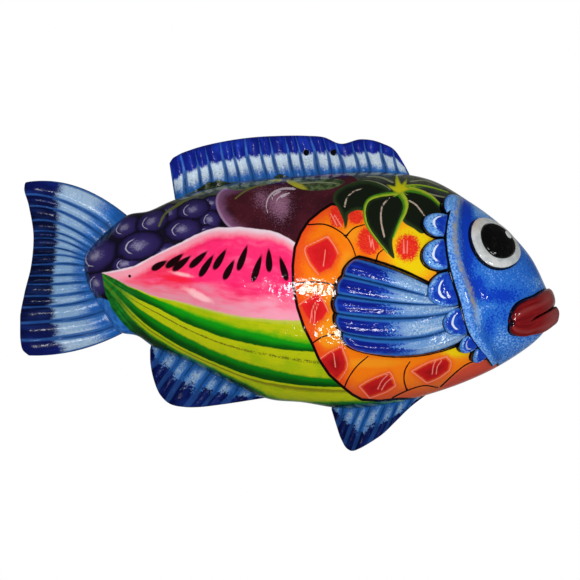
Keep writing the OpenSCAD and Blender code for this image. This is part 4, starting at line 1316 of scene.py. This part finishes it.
def mix_fin_paint(name, gloss):
    """Navy, chalky pale and middle blue by place along the ray, streaked the way the rays run, and
    blue wiped into the grooves in wedges that narrow outwards."""
    f = Finish(name)
    grain, brush = f.noise(0.9 * MM, 2.0), f.noise(4 * MM, 3.0)
    groove, out, bright = f.measure("groove"), f.measure("out"), f.measure("bright")
    patchy = f.measure("patchy")
    streak = f.streaks((f.measure("ray"), 2.3), (out, 1.6))
    chalk = f.over("#7498be", bright, "#c0d4e6")
    thick = f.math("MULTIPLY_ADD", bright, 0.55, 0.2)
    chalk = f.over(chalk, f.both(f.step(f.plus(grain, streak, 0.9), 0.45, 0.8), thick), "#dbe4ec")
    chalk = f.over(chalk, f.step(f.plus(grain, brush, 0.5), 0.42, 0.28), "#6a97cd", 0.6)
    sponged = f.step(f.plus(grain, brush, 0.7, streak, 0.3), 0.58, 0.4)
    chalk = f.over(chalk, f.both(patchy, sponged), "#3a70b2", 0.75)
    bare_groove = f.both(patchy, f.step(f.plus(groove, grain, 1.0, brush, 0.6), 0.12, 0.5))
    band = f.step(f.plus(f.measure("root"), streak, 0.25, grain, 0.2), -0.12, 0.12)
    root = f.over("#1c5cae", f.step(streak, 0.4, 0.65), "#2f77c6")
    colour = f.over(root, f.both(band, f.math("SUBTRACT", 1.0, bare_groove)), chalk)
    wedge = f.plus(f.math("MULTIPLY_ADD", out, -0.35, groove), streak, 0.25)
    colour = f.over(colour, f.step(wedge, 0.28, 0.48), "#265fa6", 0.9)
    # Dark line deep in each groove: dark paint and painted shade of the groove.
    colour = f.over(colour, f.step(f.plus(groove, streak, 0.2), 0.72, 0.94), "#133a75", 0.75)
    navy = f.over(f.over("#040a2c", bright, "#0b1a7c"), f.step(streak, 0.42, 0.7),
                  f.over("#0e2052", bright, "#1733a6"))
    narrowing = f.math("MULTIPLY_ADD", f.both(bright, f.math("SUBTRACT", out, 0.6)), -0.5, groove)
    wide = f.math("MULTIPLY_ADD", patchy, 0.25, narrowing)
    wide = f.plus(wide, streak, 0.3, grain, 0.2)
    wiped = f.both(f.step(wide, 0.6, 0.92), f.math("MULTIPLY_ADD", patchy, -0.35, 0.8))
    navy = f.over(navy, wiped, f.over("#27549c", bright, "#4479c6"))
    ragged = f.both(patchy, f.plus(f.math("MULTIPLY_ADD", brush, 0.7, -0.35), grain, 0.5))
    edge = f.math("ADD", f.plus(f.measure("tip"), streak, 0.22, grain, 0.12), ragged)
    colour = f.over(colour, f.step(edge, -0.04, 0.06), navy)
    leaf = f.over("#1a2518", f.step(f.plus(brush, grain, 0.4), 0.42, 0.62), "#4d5a3c")
    colour = f.over(colour, f.step(f.plus(f.measure("lap"), brush, 0.14), -0.01, 0.02), leaf)
    return f.varnish(colour, brush, roughness=0.16, fine=0.06, gloss=gloss)


PAINTED_FIN = mix_fin_paint("painted_fin", 0.24)
BELLY_FIN = mix_fin_paint("painted_belly_fin", 0.06)
print("fin paint nodes:", len(PAINTED_FIN.node_tree.nodes))

# %% [markdown]
# ### Tail
# The tail spreads from a narrow root to a wide, forked edge. Even rays would look stamped, so the
# places of its grooves are listed one by one, as the hand combed them.

# %% Tail fin
TAIL = [[0, [0.85, 0.468]], [0.03, [0.91, 0.462]], [0.065, [0.93, 0.435]], [0.18, [0.865, 0.335]],
        [0.3, [0.797, 0.2]], [0.42, [0.79, 0.1]], [0.55, [0.83, -0.03]], [0.7, [0.93, -0.18]],
        [0.83, [1, -0.33]], [0.92, [0.995, -0.435]], [0.965, [0.955, -0.505]], [1, [0.86, -0.537]]]
TAIL_ROOT = station(np.array([0.094, 0.088]))
TAIL_LEN, TAIL_SPAN, TAIL_RAYS = 35.5 * MM, 96 * MM, 15
TAIL_COMB = [[0, 0], [0.12, 1], [0.19, 2], [0.26, 3], [0.32, 4], [0.37, 5], [0.435, 6], [0.48, 7],
             [0.535, 8], [0.6, 9], [0.65, 10], [0.715, 11], [0.77, 12], [0.845, 13], [0.925, 14],
             [1, 15]]


def tail_bands(w):
    """Pale from a fifth of the ray on, navy from about six tenths, a little later and brighter
    towards the two lobes."""
    lobes = np.abs(2 * w - 1)
    return 0.2, 0.59 + mix(0.08, 0.04, w) * lobes, 0.5 * lobes ** 4, BARE


tail = fin_blade(
    "tail_fin_blade",
    lambda w: rim(mix(-TAIL_ROOT[0], TAIL_ROOT[1], w), TUCKED_IN),
    lambda w: rim(np.array(0.0), SLIP) + along(TAIL, w) * np.array([-TAIL_LEN, TAIL_SPAN]),
    lambda w: np.stack([0 * w, TAIL_SPAN * mix(0.07, -0.04, w)], -1),
    TAIL_RAYS, tail_bands, patchy=0.0, thin=0.6, spread=TAIL_COMB)
hand_over(tail, "tail_fin", [PAINTED_FIN, BARE_CLAY])

# %% [markdown]
# ### Back fin
# The back fin carries the two hanging holes. A hole could be left open in the grid, but its edge
# would then be stepped, so both are drilled through the finished blade with round cutters, which
# are thrown away. They slope upwards to the back, so that from the front one looks on to the wall
# of the bore, painted near black as the shade in a deep narrow hole. The dark leaves painted along
# the back lap up on the fin.

# %% Back fin with its hanging holes
DORSAL = [[0, 0.87], [0.012, 0.945], [0.035, 0.98], [0.1, 0.995], [0.25, 1], [0.45, 0.99],
          [0.6, 0.93], [0.67, 0.86], [0.735, 0.68], [0.82, 0.77], [0.9, 0.7], [0.96, 0.52],
          [1, 0.16]]
DORSAL_ROOT, DORSAL_H, DORSAL_LEAN, DORSAL_RAYS = (0.193, 0.7), 23 * MM, 5.5 * MM, 18
BORE_D, BORE_ENDS, BORE_SLOPE = 0.92 * HOLE_D, (-0.012, 0.004), 0.65


def straight(w):
    """No bow: the rays run straight."""
    return np.zeros((len(w), 2))


def edge_root(span, sign, out):
    """Root line of a fin along one edge of the body: sign -1 is the top edge and 1 the bottom."""
    return lambda w: rim(sign * station(mix(*span, w)), out)


def cutter_at(x, sides=40):
    """Round cutter: a ring of points carried from front to back, rising by the slope on the way."""
    a = np.linspace(0, 2 * np.pi, sides + 1)
    ring = np.stack([x + BORE_D / 2 * np.cos(a), 0 * a, BORE_D / 2 * np.sin(a)], -1)
    shifts = [np.array([0, y, BORE_SLOPE * (y + FIN_T)]) for y in BORE_ENDS]
    wall = np.stack([ring + shift for shift in shifts])
    caps = [np.stack([row, np.broadcast_to([x, 0, 0] + shift, ring.shape)])
            for row, shift in zip(wall, shifts)]
    return weld("cutter", [wall] + caps, [2, 2, 2], {}, inside_box=False)


def drill(piece, cutters):
    """Takes the cutters' shapes out of a piece, and throws the cutters away."""
    for cutter in cutters:
        cut = piece.modifiers.new("hole", "BOOLEAN")
        cut.operation, cut.solver, cut.object = "DIFFERENCE", "EXACT", cutter
    graph = bpy.context.evaluated_depsgraph_get()
    drilled = bpy.data.meshes.new_from_object(piece.evaluated_get(graph))
    piece.modifiers.clear()
    piece.data = drilled
    for cutter in cutters:
        bpy.data.objects.remove(cutter)


def mix_bore_shade():
    """Painted shade inside the bores: near black, with a little navy."""
    f = Finish("bore_shade")
    shade_grain = f.noise(1.2 * MM, 2.0)
    # Near black with navy specks on the bore's wall: painted shade of the deep narrow hole.
    return f.varnish(f.over("#03040c", f.step(shade_grain, 0.4, 0.7), "#0b1030"), shade_grain, roughness=0.5)


def leaf_lap(w):
    """How far the dark leaves along the back lap up the fin: one broad bump and a small one."""
    broad, small = np.exp(-((w - 0.16) / 0.07) ** 2), np.exp(-((w - 0.45) / 0.03) ** 2)
    return 0.15 * broad + 0.1 * small + 0.04


def back_bands(w):
    """Pale from a quarter of the ray on, and navy later and later towards the head, all bright."""
    return 0.24, np.interp(w, [0, 0.12, 0.6, 1], [0.52, 0.58, 0.59, 0.66]), 1.0, leaf_lap(w)


def back_tip(w):
    """Free edge of the back fin: its root line, leant tailwards and raised by the drawn height."""
    lean = -DORSAL_LEAN * (0.5 + 0.5 * np.sin(np.pi * w))
    return edge_root(DORSAL_ROOT, -1, SLIP)(w) + np.stack([lean, DORSAL_H * along(DORSAL, w)], -1)


dorsal = fin_blade("back_fin_blade", edge_root(DORSAL_ROOT, -1, TUCKED_IN), back_tip, straight,
                   DORSAL_RAYS, back_bands, patchy=0.0)
drill(dorsal, [cutter_at(x) for x in (-HOLE_PITCH / 2, HOLE_PITCH / 2)])
hand_over(dorsal, "dorsal_fin", [PAINTED_FIN, BARE_CLAY, mix_bore_shade()])

# %% [markdown]
# ### Belly fins
# Two smaller fins hang below the body. Their blades are made like the others, with outlines that
# start at the front end of the root. Their pale band was dabbed on with a sponge, so the paint is
# patchy there, which is one more measure of the blade.

# %% Belly fins
ANAL = [[0, [0, 0.08]], [0.1, [0.005, 0.32]], [0.2, [0.035, 0.58]], [0.3, [0.085, 0.8]],
        [0.4, [0.17, 0.95]], [0.5, [0.29, 1]], [0.6, [0.42, 1]], [0.7, [0.56, 0.97]],
        [0.8, [0.71, 0.93]], [0.9, [0.86, 0.885]], [1, [0.99, 0.845]]]
PELVIC = [[0, [0, 0.04]], [0.12, [0.05, 0.4]], [0.24, [0.1, 0.72]], [0.34, [0.16, 0.94]],
          [0.42, [0.22, 1]], [0.5, [0.3, 0.94]], [0.6, [0.42, 0.79]], [0.7, [0.55, 0.59]],
          [0.8, [0.685, 0.3]], [0.9, [0.84, -0.03]], [1, [0.995, -0.29]]]


def under_fin(name, span, line, drop, rays, bands):
    """Fin below the body: its free edge is given from the front end of its root, in shares of the
    root's length along the fish and of the fin's drop."""
    ends = edge_root(span, 1, SLIP)(np.array([0.0, 1.0]))
    base = np.array([ends[1, 0] - ends[0, 0], -drop])
    return fin_blade(name, edge_root(span, 1, TUCKED_IN), lambda w: ends[0] + along(line, w) * base,
                     straight, rays, bands, patchy=1.0)


anal = under_fin("anal_fin_blade", (0.141, 0.395), ANAL, 34.5 * MM, 8,
                 lambda w: (0.12 + 0.05 * w, 0.44 + 0.12 * w, 0.2, BARE))
pelvic = under_fin("pelvic_fin_blade", (0.529, 0.732), PELVIC, 24 * MM, 7,
                   lambda w: (0.16, 0.46 + 0.17 * w, 0.12, BARE))
hand_over(anal, "anal_fin", [BELLY_FIN, BARE_CLAY])
hand_over(pelvic, "pelvic_fin", [BELLY_FIN, BARE_CLAY])

# %% [markdown]
# ## Pectoral fin
# A fan of five fat ribs laid on the side of the fish. It could be modelled flat and then bent on to
# the dome. Here each place is laid on the skin directly and raised by its own height, so the fin
# sits close all over. The ribs are navy at the tips and fade, speck by speck, into pale blue
# towards the gill, and the valleys between them are darker, with dark paint and painted shade.

# %% Pectoral fin
def relief(name, place, height, measures):
    """Closed piece on the dome: its face stands off the skin by the height, and its underside is
    sunk a little into the body, as clay pressed on."""
    under = on_skin(place, np.full(height.shape, SUNK))
    return closed_piece(name, on_skin(place, height), under, measures)


def make_pectoral(rows=80, per_rib=30):
    """Grid across the ribs and outwards: height = full thickness less the flute between ribs, low
    at the root, where it slips under the fringe."""
    w = np.linspace(0, 1, PECTORAL_RIBS * per_rib + 1)
    V, W = np.meshgrid(crowded(rows, 1.6), w, indexing="ij")
    cut = FLUTE * (1 - wave(PECTORAL_RIBS * W)) * np.minimum(V / 0.3, 1)
    height = (PECTORAL_T - cut) * edge_at(V) * both_edges(W) * mix(0.3, 1.0, swell(V / 0.38))
    rimward = np.minimum((1 - V) * 58, np.minimum(W, 1 - W) * 50 * mix(0.9, 1.0, V))
    valley = 1 - np.abs(np.sin(np.pi * PECTORAL_RIBS * W))
    measures = {"out": V, "rib": PECTORAL_RIBS * W, "valley": valley, "rimward": rimward}
    return relief("pectoral_fin_fan", pectoral_place(W, V), height, measures)


def mix_pectoral_paint():
    """Pale blue that fades into navy ribs outwards, dark valleys, and a black line on the rim."""
    f = Finish("painted_pectoral")
    grain, brush = f.noise(0.9 * MM, 2.0), f.noise(4 * MM, 3.0)
    out, valley, rimward = f.measure("out"), f.measure("valley"), f.measure("rimward")
    streak = f.streaks((f.measure("rib"), 5.0), (out, 1.5))
    pale = f.over("#6893c8", f.step(f.plus(grain, streak, 0.9), 0.4, 0.7), "#a2bfdd")
    pale = f.over(pale, f.step(f.plus(grain, brush, 0.6), 0.58, 0.8), "#c9d3da", 0.7)
    fade = f.plus(out, grain, 0.5, streak, 0.4)
    colour = f.over(pale, f.step(fade, 0.36, 0.52), "#2a62bd")
    rib = f.both(f.step(fade, 0.44, 0.58), f.step(f.plus(rimward, brush, 1.6), 1.4, 3.0),
                 f.step(f.plus(valley, streak, 0.3), 0.7, 0.4))
    navy = f.over("#0a1a7e", f.step(streak, 0.42, 0.7), "#1434a6")
    colour = f.over(colour, rib, navy)
    colour = f.over(colour, f.step(f.plus(valley, streak, 0.35), 0.38, 0.68), "#2a67b0", 0.85)
    # Dark core of each valley: dark paint and painted shade between the ribs.
    colour = f.over(colour, f.step(f.plus(valley, streak, 0.2), 0.7, 0.92), "#0e3a72", 0.9)
    colour = f.over(colour, f.step(f.plus(rimward, brush, 0.8), 1.5, 0.9), "#060812")
    return f.varnish(colour, brush, roughness=0.05, waves=0.6, depth=0.9 * MM, fine=0.3)


pectoral = make_pectoral()
hand_over(pectoral, "pectoral_fin", [mix_pectoral_paint()])

# %% [markdown]
# ## Gill edge and its fringe
# A rounded ridge runs down behind the head. It could be a tube along the gill line, but the real
# one is steep behind and runs out softly into the cheek, so its height is given from the edge to
# the cheek. It is airbrushed like the head, with a painted highlight: paler towards the gill edge,
# and a broken grey gold line on its crest.

# %% Gill cover
GILL_LAP, GILL_ENDS = 3.2 * MM, (0.015, 0.985)


def make_gill_cover(rows=56, columns=160):
    """Ridge: a steep step at the gill edge, lapped over the fringe, a gentle rise to the crest,
    then a long smooth fall to the cheek, by half a cosine."""
    g, v = np.linspace(*GILL_ENDS, columns + 1), np.linspace(0, 1, rows + 1) ** 1.4
    V, G = np.meshgrid(v, g, indexing="ij")
    width = GILL_W * (0.35 + 0.65 * np.sin(np.pi * G))
    place = gill(G) + gill_back(G) * (GILL_LAP - (GILL_LAP + width) * V)[..., None]
    crest = eased(V / 0.1) * mix(0.84, 1.0, swell(V / 0.4))
    fall = 0.5 + 0.5 * np.cos(np.pi * np.clip((V - 0.4) / 0.6, 0, 1))
    height = GILL_T * crest * fall * both_edges((G - GILL_ENDS[0]) / np.ptp(GILL_ENDS))
    measures = {"over": V, "down": G, "head_tone": head_field(squares(place))}
    return relief("gill_cover_ridge", place, height, measures)


def mix_gill_paint():
    """The head's blues with a painted highlight, paler towards the gill edge and a broken grey gold
    line that wanders down the crest, and a black step behind.
    """
    f = Finish("painted_gill")
    grain, brush = f.noise(AIR_GRAIN, 2.0), f.noise(3.5 * MM, 3.0)
    v, down = f.measure("over"), f.measure("down")
    from_head = f.both(f.measure("head_tone"), f.step(v, 0.42, 0.72))
    # Paler towards the gill edge: a painted highlight on the ridge's outer slope.
    tone = f.math("SUBTRACT", from_head, f.step(v, 0.62, 0.3, 0.0, 0.5))
    colour = airbrushed_blue(f, tone, grain)
    # A broken grey gold line on the crest: a painted highlight along the ridge.
    line = f.off(f.plus(v, brush, 0.1), f.step(down, 0.4, 0.72, 0.46, 0.64))
    painted_sheen = f.both(f.step(brush, 0.34, 0.62, 0.35, 0.95), f.step(down, 0.82, 0.66))
    crest = f.both(f.step(f.plus(line, grain, 0.34), 0.19, 0.02), painted_sheen)
    colour = f.over(colour, crest, f.over("#8d938f", f.step(grain, 0.48, 0.6), "#ab9b62"))
    return f.varnish(f.over(colour, f.step(v, 0.17, 0.13), OUTLINE_BLACK), brush)


gill_cover = make_gill_cover()
hand_over(gill_cover, "gill_cover", [mix_gill_paint()])

# %% [markdown]
# ### Lobes of the fringe
# Seven pillows of clay peep out from under the ridge, each pressed on by itself. One function and
# one paint make them all. What differs from lobe to lobe, such as its reach, how far the deep blue
# goes and how strong its white crescent is, stands in short lists.

# %% Lobes of the fringe
CRESCENTS = [0.0, 1.0, 1.0, 1.0, 0.9, 0.5, 0.0]
DEEP_BEYOND = [-0.5, 0.0, 0.06, 0.24, 0.24, 0.15, 0.1]


def make_lobe(k, rows=34, columns=52):
    """Pillow: low at the root, under the gill edge, fullest past its middle, and rounded off at the
    outer edge and at both sides."""
    s = np.linspace(0.004, 0.996, columns + 1)
    V, S = np.meshgrid(crowded(rows, 1.7), s, indexing="ij")
    fullness, sideways = mix(0.45, 1.0, swell(V / 0.55)), np.minimum(S, 1 - S)
    height = LOBE_T * fullness * eased((1 - V) / 0.3) * eased(sideways / 0.34)
    rimward = np.minimum((1 - V) * 14 * LOBE_SHARES[k], sideways * 16)
    bow = V - (0.62 - 1.5 * (S - 0.5) ** 2)
    measures = {"across": S, "rimward": rimward, "bow": bow, "pale": bow - DEEP_BEYOND[k],
                "white": np.full(V.shape, CRESCENTS[k])}
    return relief(f"gill_lobe_{k + 1}_pillow", lobe_place(k, S, V), height, measures)


def mix_lobe_paint():
    """Deep blue, pale and speckled beyond a bowed line, one white crescent stroke, black rim."""
    f = Finish("painted_lobe")
    grain, brush = f.noise(AIR_GRAIN, 2.0), f.noise(3.0 * MM, 3.0)
    deep = f.over("#0f33a6", f.step(brush, 0.4, 0.65), "#1d4db8")
    spat = f.plus(f.measure("pale"), grain, 0.55, brush, 0.2)
    pale = f.over("#4584d2", f.step(grain, 0.4, 0.62), "#82b4e6")
    colour = f.over(deep, f.step(spat, -0.06, 0.12), pale)
    rimward = f.measure("rimward")
    colour = f.over(colour, f.step(f.plus(rimward, grain, 1.5), 2.2, 1.2), "#2c63b4", 0.7)
    on_bow = f.step(f.math("ABSOLUTE", f.plus(f.measure("bow"), brush, 0.07)), 0.05, 0.025)
    middle = f.step(f.off(f.measure("across"), 0.46), 0.26, 0.2)
    colour = f.over(colour, f.both(on_bow, middle, f.measure("white")), "#d5e2f6")
    rim_line = f.step(f.plus(rimward, brush, 0.5), 0.95, 0.55)
    return f.varnish(f.over(colour, rim_line, OUTLINE_BLACK), brush)


PAINTED_LOBE = mix_lobe_paint()
for k in range(len(LOBE_SHARES)):
    hand_over(make_lobe(k), f"gill_lobe_{k + 1}", [PAINTED_LOBE])

# %% [markdown]
# ## Eye
# A flat white pad with a raised black pupil. A squashed ball would float on the slope, so both are
# rings of points about the eye's centre, set out along the sloping cheek. The eye is then truly
# round and only looks oval from the front. The large glint is the lamp's; one small dab is painted.

# %% Eye ring and pupil
DAB_AT, DAB_LONG, DAB_WIDE = (506.5, 235.0), 4.4, 1.8


def make_disc(name, radii, heights, pole):
    """Rings of points at the given radii, each lifted by its height, closed below by the same rings
    sunk a little into the cheek."""
    a = np.linspace(0, 2 * np.pi, 121)
    R, A = np.meshgrid(radii, a, indexing="ij")
    H = np.broadcast_to(np.asarray(heights)[:, None], R.shape)
    over, under = eye_point(R, A, H), eye_point(R, A, np.full(R.shape, SUNK))
    spots = squares(over[..., [0, 2]])
    measures = {"radius": R / MM, "spot_x": spots[..., 0], "spot_y": spots[..., 1]}
    return closed_piece(name, over, under, measures, ring=True, pole=pole)


def mix_eye_white():
    """Ivory white, greyer in places, with a black line on its rim and a thin one at the pupil."""
    f = Finish("eye_white_paint")
    brush = f.noise(4 * MM, 3.0)
    colour = f.over("#cbcdcc", f.step(brush, 0.42, 0.65), "#b4b9ba")
    corner = f.both(f.step(f.plus(f.measure("spot_x"), brush, 10.0), 485.0, 472.0),
                    f.step(f.measure("spot_y"), 236.0, 224.0), 0.6)
    colour = f.over(colour, corner, "#bfa893")
    r = f.plus(f.measure("radius"), brush, 0.5)
    colour = f.over(colour, f.step(r, 15.7, 16.0), "#0a0c12")
    return f.varnish(f.over(colour, f.step(r, 11.3, 10.9), "#0a0c12"), brush)


def mix_pupil():
    """Black with a faint brown bloom, and the painter's one white dab at the front."""
    f = Finish("eye_black_paint")
    brush = f.noise(3 * MM, 3.0)
    colour = f.over("#060607", f.step(brush, 0.5, 0.7), "#14110f")
    x = f.math("SUBTRACT", f.measure("spot_x"), DAB_AT[0])
    y = f.math("SUBTRACT", f.measure("spot_y"), DAB_AT[1])
    lengthways = f.math("ADD", f.math("MULTIPLY", x, 0.6), f.math("MULTIPLY", y, 0.8))
    crossways = f.math("SUBTRACT", f.math("MULTIPLY", x, 0.8), f.math("MULTIPLY", y, 0.6))
    shares = [f.math("DIVIDE", lengthways, DAB_LONG), f.math("DIVIDE", crossways, DAB_WIDE)]
    dab = f.math("ADD", *(f.math("POWER", f.math("ABSOLUTE", share), 2.0) for share in shares))
    colour = f.over(colour, f.step(f.plus(dab, brush, 0.5), 1.15, 0.8), "#dcdedd")
    return f.varnish(colour, brush, waves=0.9, depth=1.0 * MM)


share = np.linspace(0, 1, 21)
pad = np.interp(share, [0, 0.35, 0.7, 0.85, 0.93, 0.98, 1], [0.95, 1, 0.93, 0.8, 0.6, 0.3, 0.1])
ring = make_disc("eye_ring_pad", mix(PUPIL_D / 2 - 0.5 * MM, EYE_D / 2, share), EYE_T * pad, False)
hand_over(ring, "eye_ring", [mix_eye_white()])
pupil = make_disc("eye_pupil_dome", PUPIL_D / 2 * np.sin(np.pi / 2 * share),
                  PUPIL_T * (0.5 + 0.5 * np.cos(np.pi / 2 * share)), True)
hand_over(pupil, "eye_pupil", [mix_pupil()])

# %% [markdown]
# ## Lips
# Two rolls of clay that meet in the mouth line, dark red with a black edge against the cheek. They
# could be tubes along a curve, but the real rolls are pressed flat on the muzzle and grow together
# at the corner. So each is a grid from its outer edge to the mouth line, raised by a round height.

# %% Lips
LIP_END = 0.985


def make_lip(name, place, front_share, rows=72, columns=40):
    """Roll between its outer edge and the mouth line, rounded across and at the corner. From half
    way back the two rolls grow together: the height then stays full up to the mouth line."""
    s, q = LIP_END * crowded(rows, 1.3), np.linspace(0, 1, columns + 1)
    S, Q = np.meshgrid(s, q, indexing="ij")
    rise = np.sqrt(np.clip(1 - np.abs(2 * Q - 1) ** 2.6, 0, 1))
    fall = mix(1.0, 0.45, np.clip(2 * Q - 1, 0, 1) ** 2.5)
    single = np.where(Q < 0.5, rise, fall)
    joined = np.sqrt(np.clip(1 - (1 - Q) ** 2.4, 0, 1))
    profile = 0.1 + 0.9 * mix(single, joined, grown_together(S))
    height = LIP_T * profile * eased((1 - S) / 0.3)
    height *= mix(front_share, 1.0, swell(S / 0.35))
    return relief(name, place(S, Q), height, {"back": S, "mouthward": Q})


def mix_lip_paint():
    """Dark red, streaked lengthways, with a painted sheen on the crest and in front, black at the
    edges.
    """
    f = Finish("painted_lip")
    brush = f.noise(3 * MM, 3.0)
    back, mouthward = f.measure("back"), f.measure("mouthward")
    streak = f.streaks((mouthward, 6.0), (back, 1.5), 2.0)
    colour = f.over("#6b0d13", f.step(streak, 0.4, 0.65), "#85181a")
    # Painted sheen: pale pink along the crest of each roll.
    painted_sheen = f.step(f.off(f.plus(mouthward, streak, 0.4), 0.42), 0.2, 0.0)
    colour = f.over(colour, painted_sheen, "#b0605c", 0.18)
    # Painted reflection: pale pink towards the muzzle, where the rolls turn to the pale surround.
    colour = f.over(colour, f.step(f.plus(back, streak, 0.2), 0.5, 0.0), "#b0706c", 0.36)
    parted = f.step(f.plus(back, brush, 0.15), 0.72, 0.58)
    inner = f.step(f.plus(mouthward, brush, 0.1), 0.93, 0.99)
    colour = f.over(colour, f.both(inner, parted), "#1c0204")
    edge = f.step(f.plus(mouthward, brush, 0.08), f.step(back, 0.3, 0.85, 0.05, 0.16), 0.015)
    edge = f.math("MAXIMUM", edge, f.step(f.plus(back, brush, 0.06), 0.93, 0.97))
    return f.varnish(f.over(colour, edge, "#08040a"), brush)


PAINTED_LIP = mix_lip_paint()
for (name, place), front_share in zip(LIPS.items(), (0.62, 1.0)):
    hand_over(make_lip(name + "_roll", place, front_share), name, [PAINTED_LIP])

# %% [markdown]
# ## Camera, light and floor
# The picture is square, and its edges are those of the drawing grid. The camera could stand near,
# as a visitor would, but then the dome would hide its own edges. From far away, with a long lens,
# it looks straight at the wall and there is almost no perspective.

# %% Camera
GRID_SIDE, FAR, SENSOR = 580, 4.0, 36.0
middle = GRID_SIDE / 2
centre = np.array([(middle - HANG_SQUARE[0]) * SQUARE, (HANG_SQUARE[1] - middle) * SQUARE])
lens = bpy.data.cameras.new("camera")
lens.sensor_width = SENSOR
lens.lens = SENSOR * FAR / (GRID_SIDE * SQUARE)
lens.clip_end = 50.0
camera = bpy.data.objects.new("camera", lens)
camera.location = (centre[0], -FAR, centre[1])
camera.rotation_euler = (np.pi / 2, 0.0, 0.0)
bpy.context.scene.collection.objects.link(camera)
bpy.context.scene.camera = camera
bpy.context.scene.view_settings.view_transform = "Standard"
print("lens", round(lens.lens), "mm")

# %% [markdown]
# ### Surround
# The background is white paper, and the same surround also gives even light from all sides. In a
# varnish, white paper all round would lie as a grey veil over the dark paints. So the surround
# asks what kind of ray has met it: the camera sees white, reflections see white only behind the
# fish and a dim room in front of it, and all else gets an even grey.

# %% Surround
def make_surround(even=0.43, room=0.05):
    """White to the camera. Reflections see white behind the fish and a dim room in front of it. The
    even part of the light is a plain grey."""
    world = bpy.data.worlds.new("surround")
    world.use_nodes = True
    nodes, links = world.node_tree.nodes, world.node_tree.links
    background = nodes["Background"]
    path, where = nodes.new("ShaderNodeLightPath"), nodes.new("ShaderNodeTexCoord")
    split = nodes.new("ShaderNodeSeparateXYZ")
    links.new(where.outputs["Generated"], split.inputs[0])
    turn = nodes.new("ShaderNodeMapRange")
    turn.interpolation_type = "SMOOTHSTEP"
    links.new(split.outputs["Y"], turn.inputs["Value"])
    for label, value in (("From Min", 0.84), ("From Max", 1.24), ("To Min", room), ("To Max", 1.0)):
        turn.inputs[label].default_value = value
    clear = nodes.new("ShaderNodeMath")
    clear.operation = "MAXIMUM"
    links.new(path.outputs["Is Glossy Ray"], clear.inputs[0])
    links.new(path.outputs["Is Transmission Ray"], clear.inputs[1])
    reflected, seen = nodes.new("ShaderNodeMix"), nodes.new("ShaderNodeMix")
    links.new(clear.outputs[0], reflected.inputs[0])
    reflected.inputs[2].default_value = even
    links.new(turn.outputs[0], reflected.inputs[3])
    links.new(path.outputs["Is Camera Ray"], seen.inputs[0])
    links.new(reflected.outputs[0], seen.inputs[2])
    seen.inputs[3].default_value = 1.0
    background.inputs["Color"].default_value = (1, 1, 1, 1)
    links.new(seen.outputs[0], background.inputs["Strength"])
    bpy.context.scene.world = world


make_surround()
print("surround made")

# %% [markdown]
# ### Lamps
# A large soft box high on the left shapes the dome, and one behind the wall lights the floor and
# the bare back. Three small lamps in front put short glints on the ribs, the dome, the gill and the
# pupil. The varnish would mirror the large boxes as broad patches, so they are kept out of it.

# %% Lamps
def lamp(name, place, aim, size, watts):
    """Rectangular lamp at a place, turned to face an aim."""
    light = bpy.data.lights.new(name, "AREA")
    light.shape, light.size, light.size_y, light.energy = "RECTANGLE", size[0], size[1], watts
    holder = bpy.data.objects.new(name, light)
    d = np.array(aim, float) - np.array(place, float)
    d /= np.linalg.norm(d)
    holder.location = place
    holder.rotation_euler = (np.arccos(-d[2]), 0.0, np.arctan2(d[0], -d[1]) + np.pi)
    bpy.context.scene.collection.objects.link(holder)
    return holder


AIM = (centre[0], -0.03, centre[1])
for box in (lamp("soft_box", (-0.35, -2.0, 0.9), AIM, (0.9, 0.9), 9),
            lamp("back_box", (0.35, 1.9, 0.95), AIM, (0.9, 0.9), 17)):
    box.visible_glossy = box.visible_camera = False
lamp("glint_lamp", (-0.37, -2.6, centre[1] + 0.03), AIM, (0.3, 0.36), 12.5)
lamp("glint_lamp_low", (0.02, -0.75, -0.55), AIM, (0.2, 0.13), 2.4)
lamp("glint_lamp_right", (0.55, -0.8, -0.14), AIM, (0.11, 0.11), 1.2)

# %% [markdown]
# ### Floor
# The plaque hangs, so nothing stands on the floor. A pale one lies well below all the same, and
# throws a little light up under the belly. It is part of the studio and not of the fish.

# %% Floor
def make_floor(height=-0.26, width=1.6, front=-0.3, back=0.5, count=24):
    """Pale floor below the fish: a flat grid of points, kept out of the varnish's reflections as a
    dark card would in a studio."""
    X, Y = np.meshgrid(np.linspace(-width / 2, width / 2, count), np.linspace(front, back, count))
    points = np.stack([X, Y, 0 * X + height], -1).reshape(-1, 3)
    mesh = bpy.data.meshes.new("floor")
    mesh.from_pydata(points.tolist(), [], quads_of(count, count).tolist())
    floor = bpy.data.objects.new("floor", mesh)
    bpy.context.scene.collection.objects.link(floor)
    pale = Finish("pale_floor")
    cloud = pale.noise(0.2, 2.0)
    pale.feed(pale.shader.inputs["Base Color"], pale.over("#f5f5f3", cloud, "#fdfdfb"))
    pale.shader.inputs["Roughness"].default_value = 0.8
    mesh.materials.append(pale.material)
    floor.visible_glossy = False


make_floor()
print("floor made")
